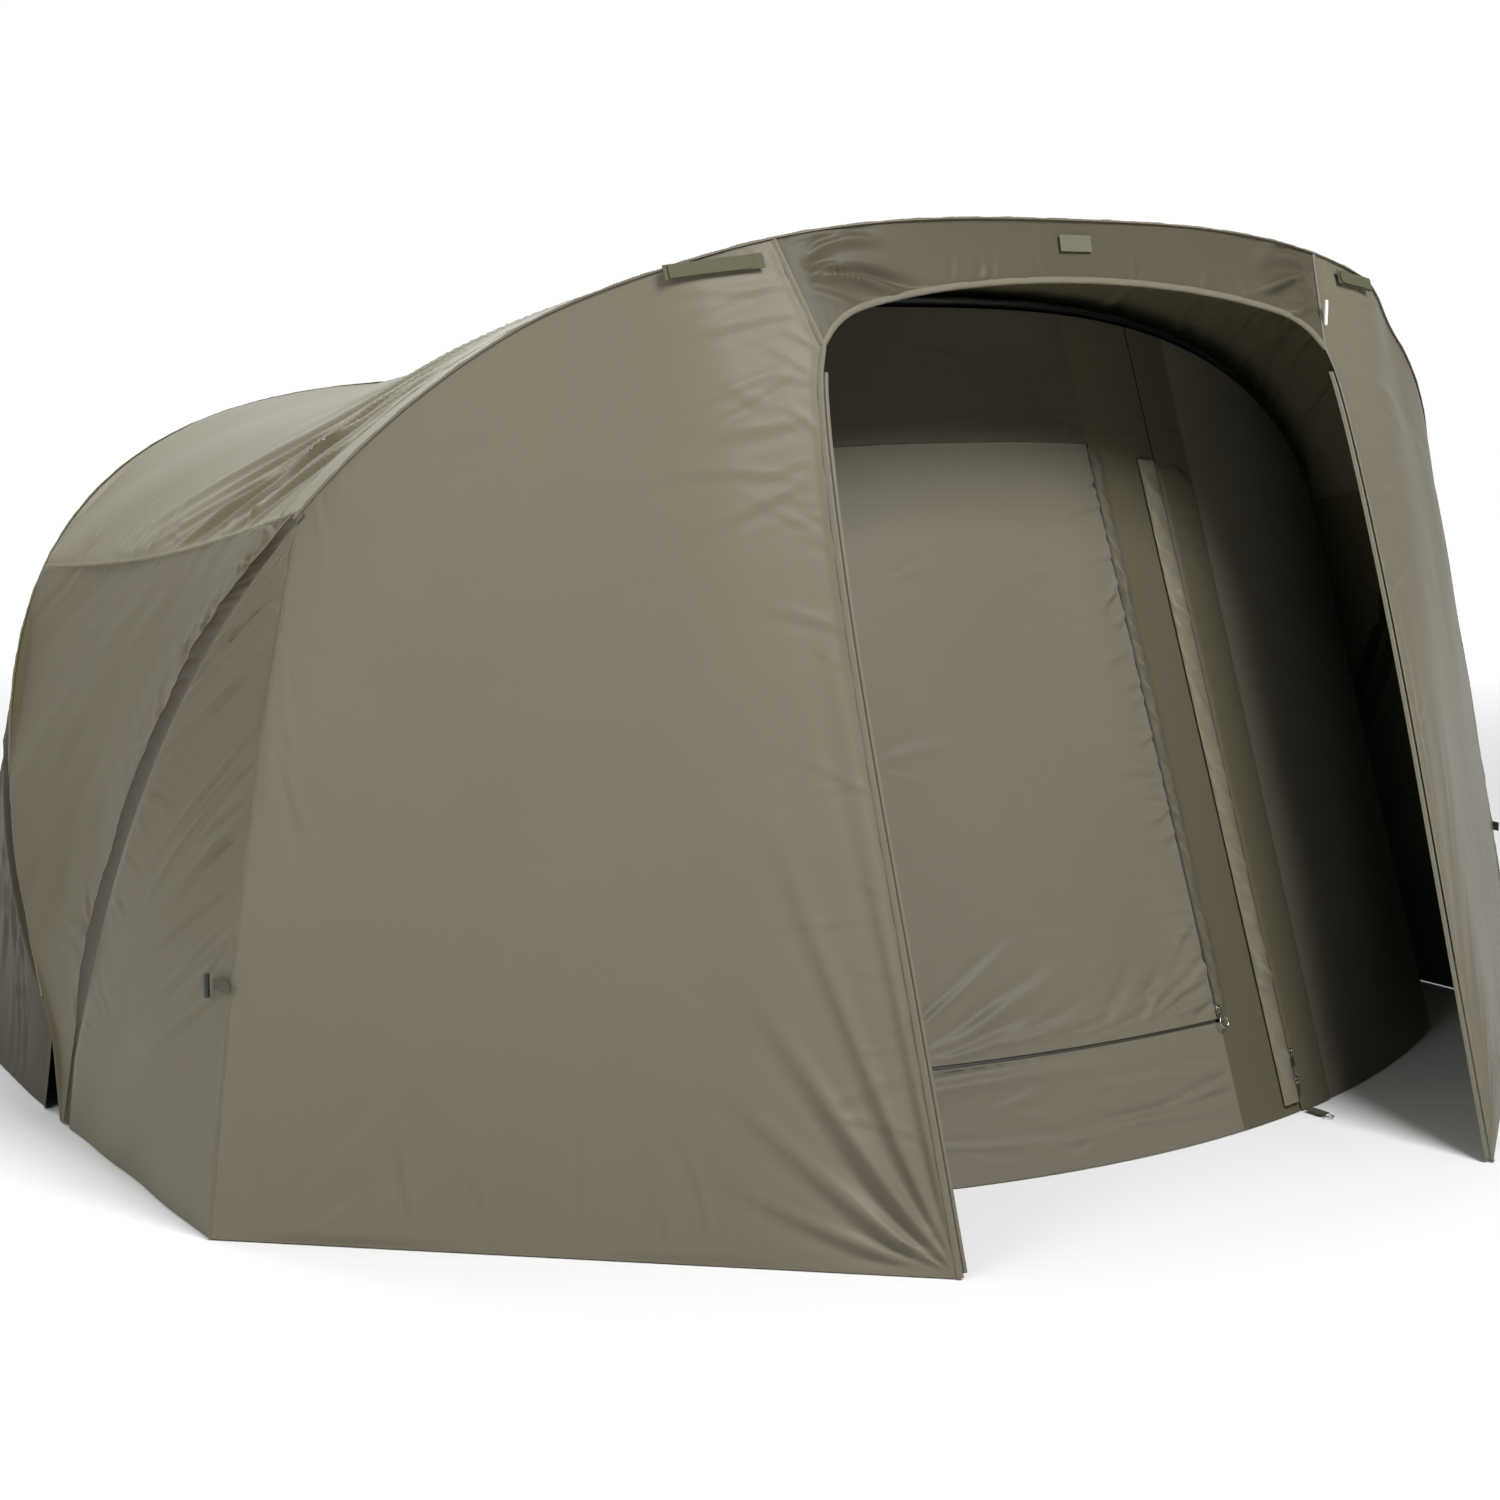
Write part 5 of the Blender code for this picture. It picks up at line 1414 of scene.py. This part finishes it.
# Studio. A white paper floor that brightens away from the shelter, a pale sky behind it, a
# key light above the front, a weaker light on the left and one over the roof, and the camera.
bpy.ops.object.select_all(action="DESELECT")
bpy.ops.mesh.primitive_plane_add(size=60.0, location=(0, 0, 0))
floor = bpy.context.active_object
floor.name = "studio_floor"
paper, _, _, paper_shader = shader_of("studio paper", (0.84, 0.84, 0.84), 0.9)
paper_shader.inputs["Specular IOR Level"].default_value = 0.0
floor.data.materials.append(paper)
lines, joins = paper.node_tree.nodes, paper.node_tree.links
where = lines.new("ShaderNodeTexCoord")
far = lines.new("ShaderNodeVectorMath")
far.operation = "LENGTH"
joins.new(where.outputs["Object"], far.inputs[0])
glow = lines.new("ShaderNodeMapRange")
glow.interpolation_type = "SMOOTHSTEP"
glow.inputs["From Min"].default_value = 2.6
glow.inputs["From Max"].default_value = 9.0
glow.inputs["To Min"].default_value = 0.0
glow.inputs["To Max"].default_value = 0.75
joins.new(far.outputs["Value"], glow.inputs["Value"])
joins.new(glow.outputs["Result"], paper_shader.inputs["Emission Strength"])
paper_shader.inputs["Emission Color"].default_value = (1.0, 1.0, 1.0, 1.0)
world = bpy.data.worlds.new("studio")
world.use_nodes = True
sky, wires = world.node_tree.nodes, world.node_tree.links
heading = sky.new("ShaderNodeTexCoord")
parts = sky.new("ShaderNodeSeparateXYZ")
wires.new(heading.outputs["Generated"], parts.inputs["Vector"])
screen = sky.new("ShaderNodeMapRange")
screen.inputs["From Min"].default_value = 0.20
screen.inputs["From Max"].default_value = 0.62
screen.inputs["To Min"].default_value = 0.11
screen.inputs["To Max"].default_value = 1.03
wires.new(parts.outputs["Y"], screen.inputs["Value"])
wires.new(screen.outputs["Result"], sky["Background"].inputs["Strength"])
sky["Background"].inputs["Color"].default_value = (1.0, 1.0, 1.0, 1.0)
bpy.context.scene.world = world


def softbox(name, power, size, place, aim):
    """A rectangular area light at a place, turned towards its aim."""
    data = bpy.data.lights.new(name, "AREA")
    data.energy = power
    data.shape = "RECTANGLE"
    data.size = size[0]
    data.size_y = size[1]
    light = bpy.data.objects.new(name, data)
    bpy.context.scene.collection.objects.link(light)
    light.location = place
    light.rotation_euler = (Vector(aim) - Vector(place)).to_track_quat("-Z", "Y").to_euler()
    return light


lamps = [
    softbox("key", 430.0, (2.4, 2.2), (0.3, -5.0, 5.2), (0.0, -0.9, 0.4)),
    softbox("left_fill", 120.0, (4.0, 3.0), (-5.8, -2.0, 3.0), (-0.8, 0.0, 0.7)),
    softbox("roof_light", 150.0, (4.0, 2.0), (-1.0, 3.6, 4.6), (-0.3, 0.3, 1.3)),
]

lens = bpy.data.cameras.new("camera")
lens.lens = 63.7
lens.sensor_width = 36.0
camera = bpy.data.objects.new("camera", lens)
bpy.context.scene.collection.objects.link(camera)
camera.location = (-2.841, -4.747, 1.362)
camera.rotation_euler = (math.radians(81.72), 0.0, math.radians(-31.58))
bpy.context.scene.camera = camera
bpy.context.scene.view_settings.view_transform = "Standard"
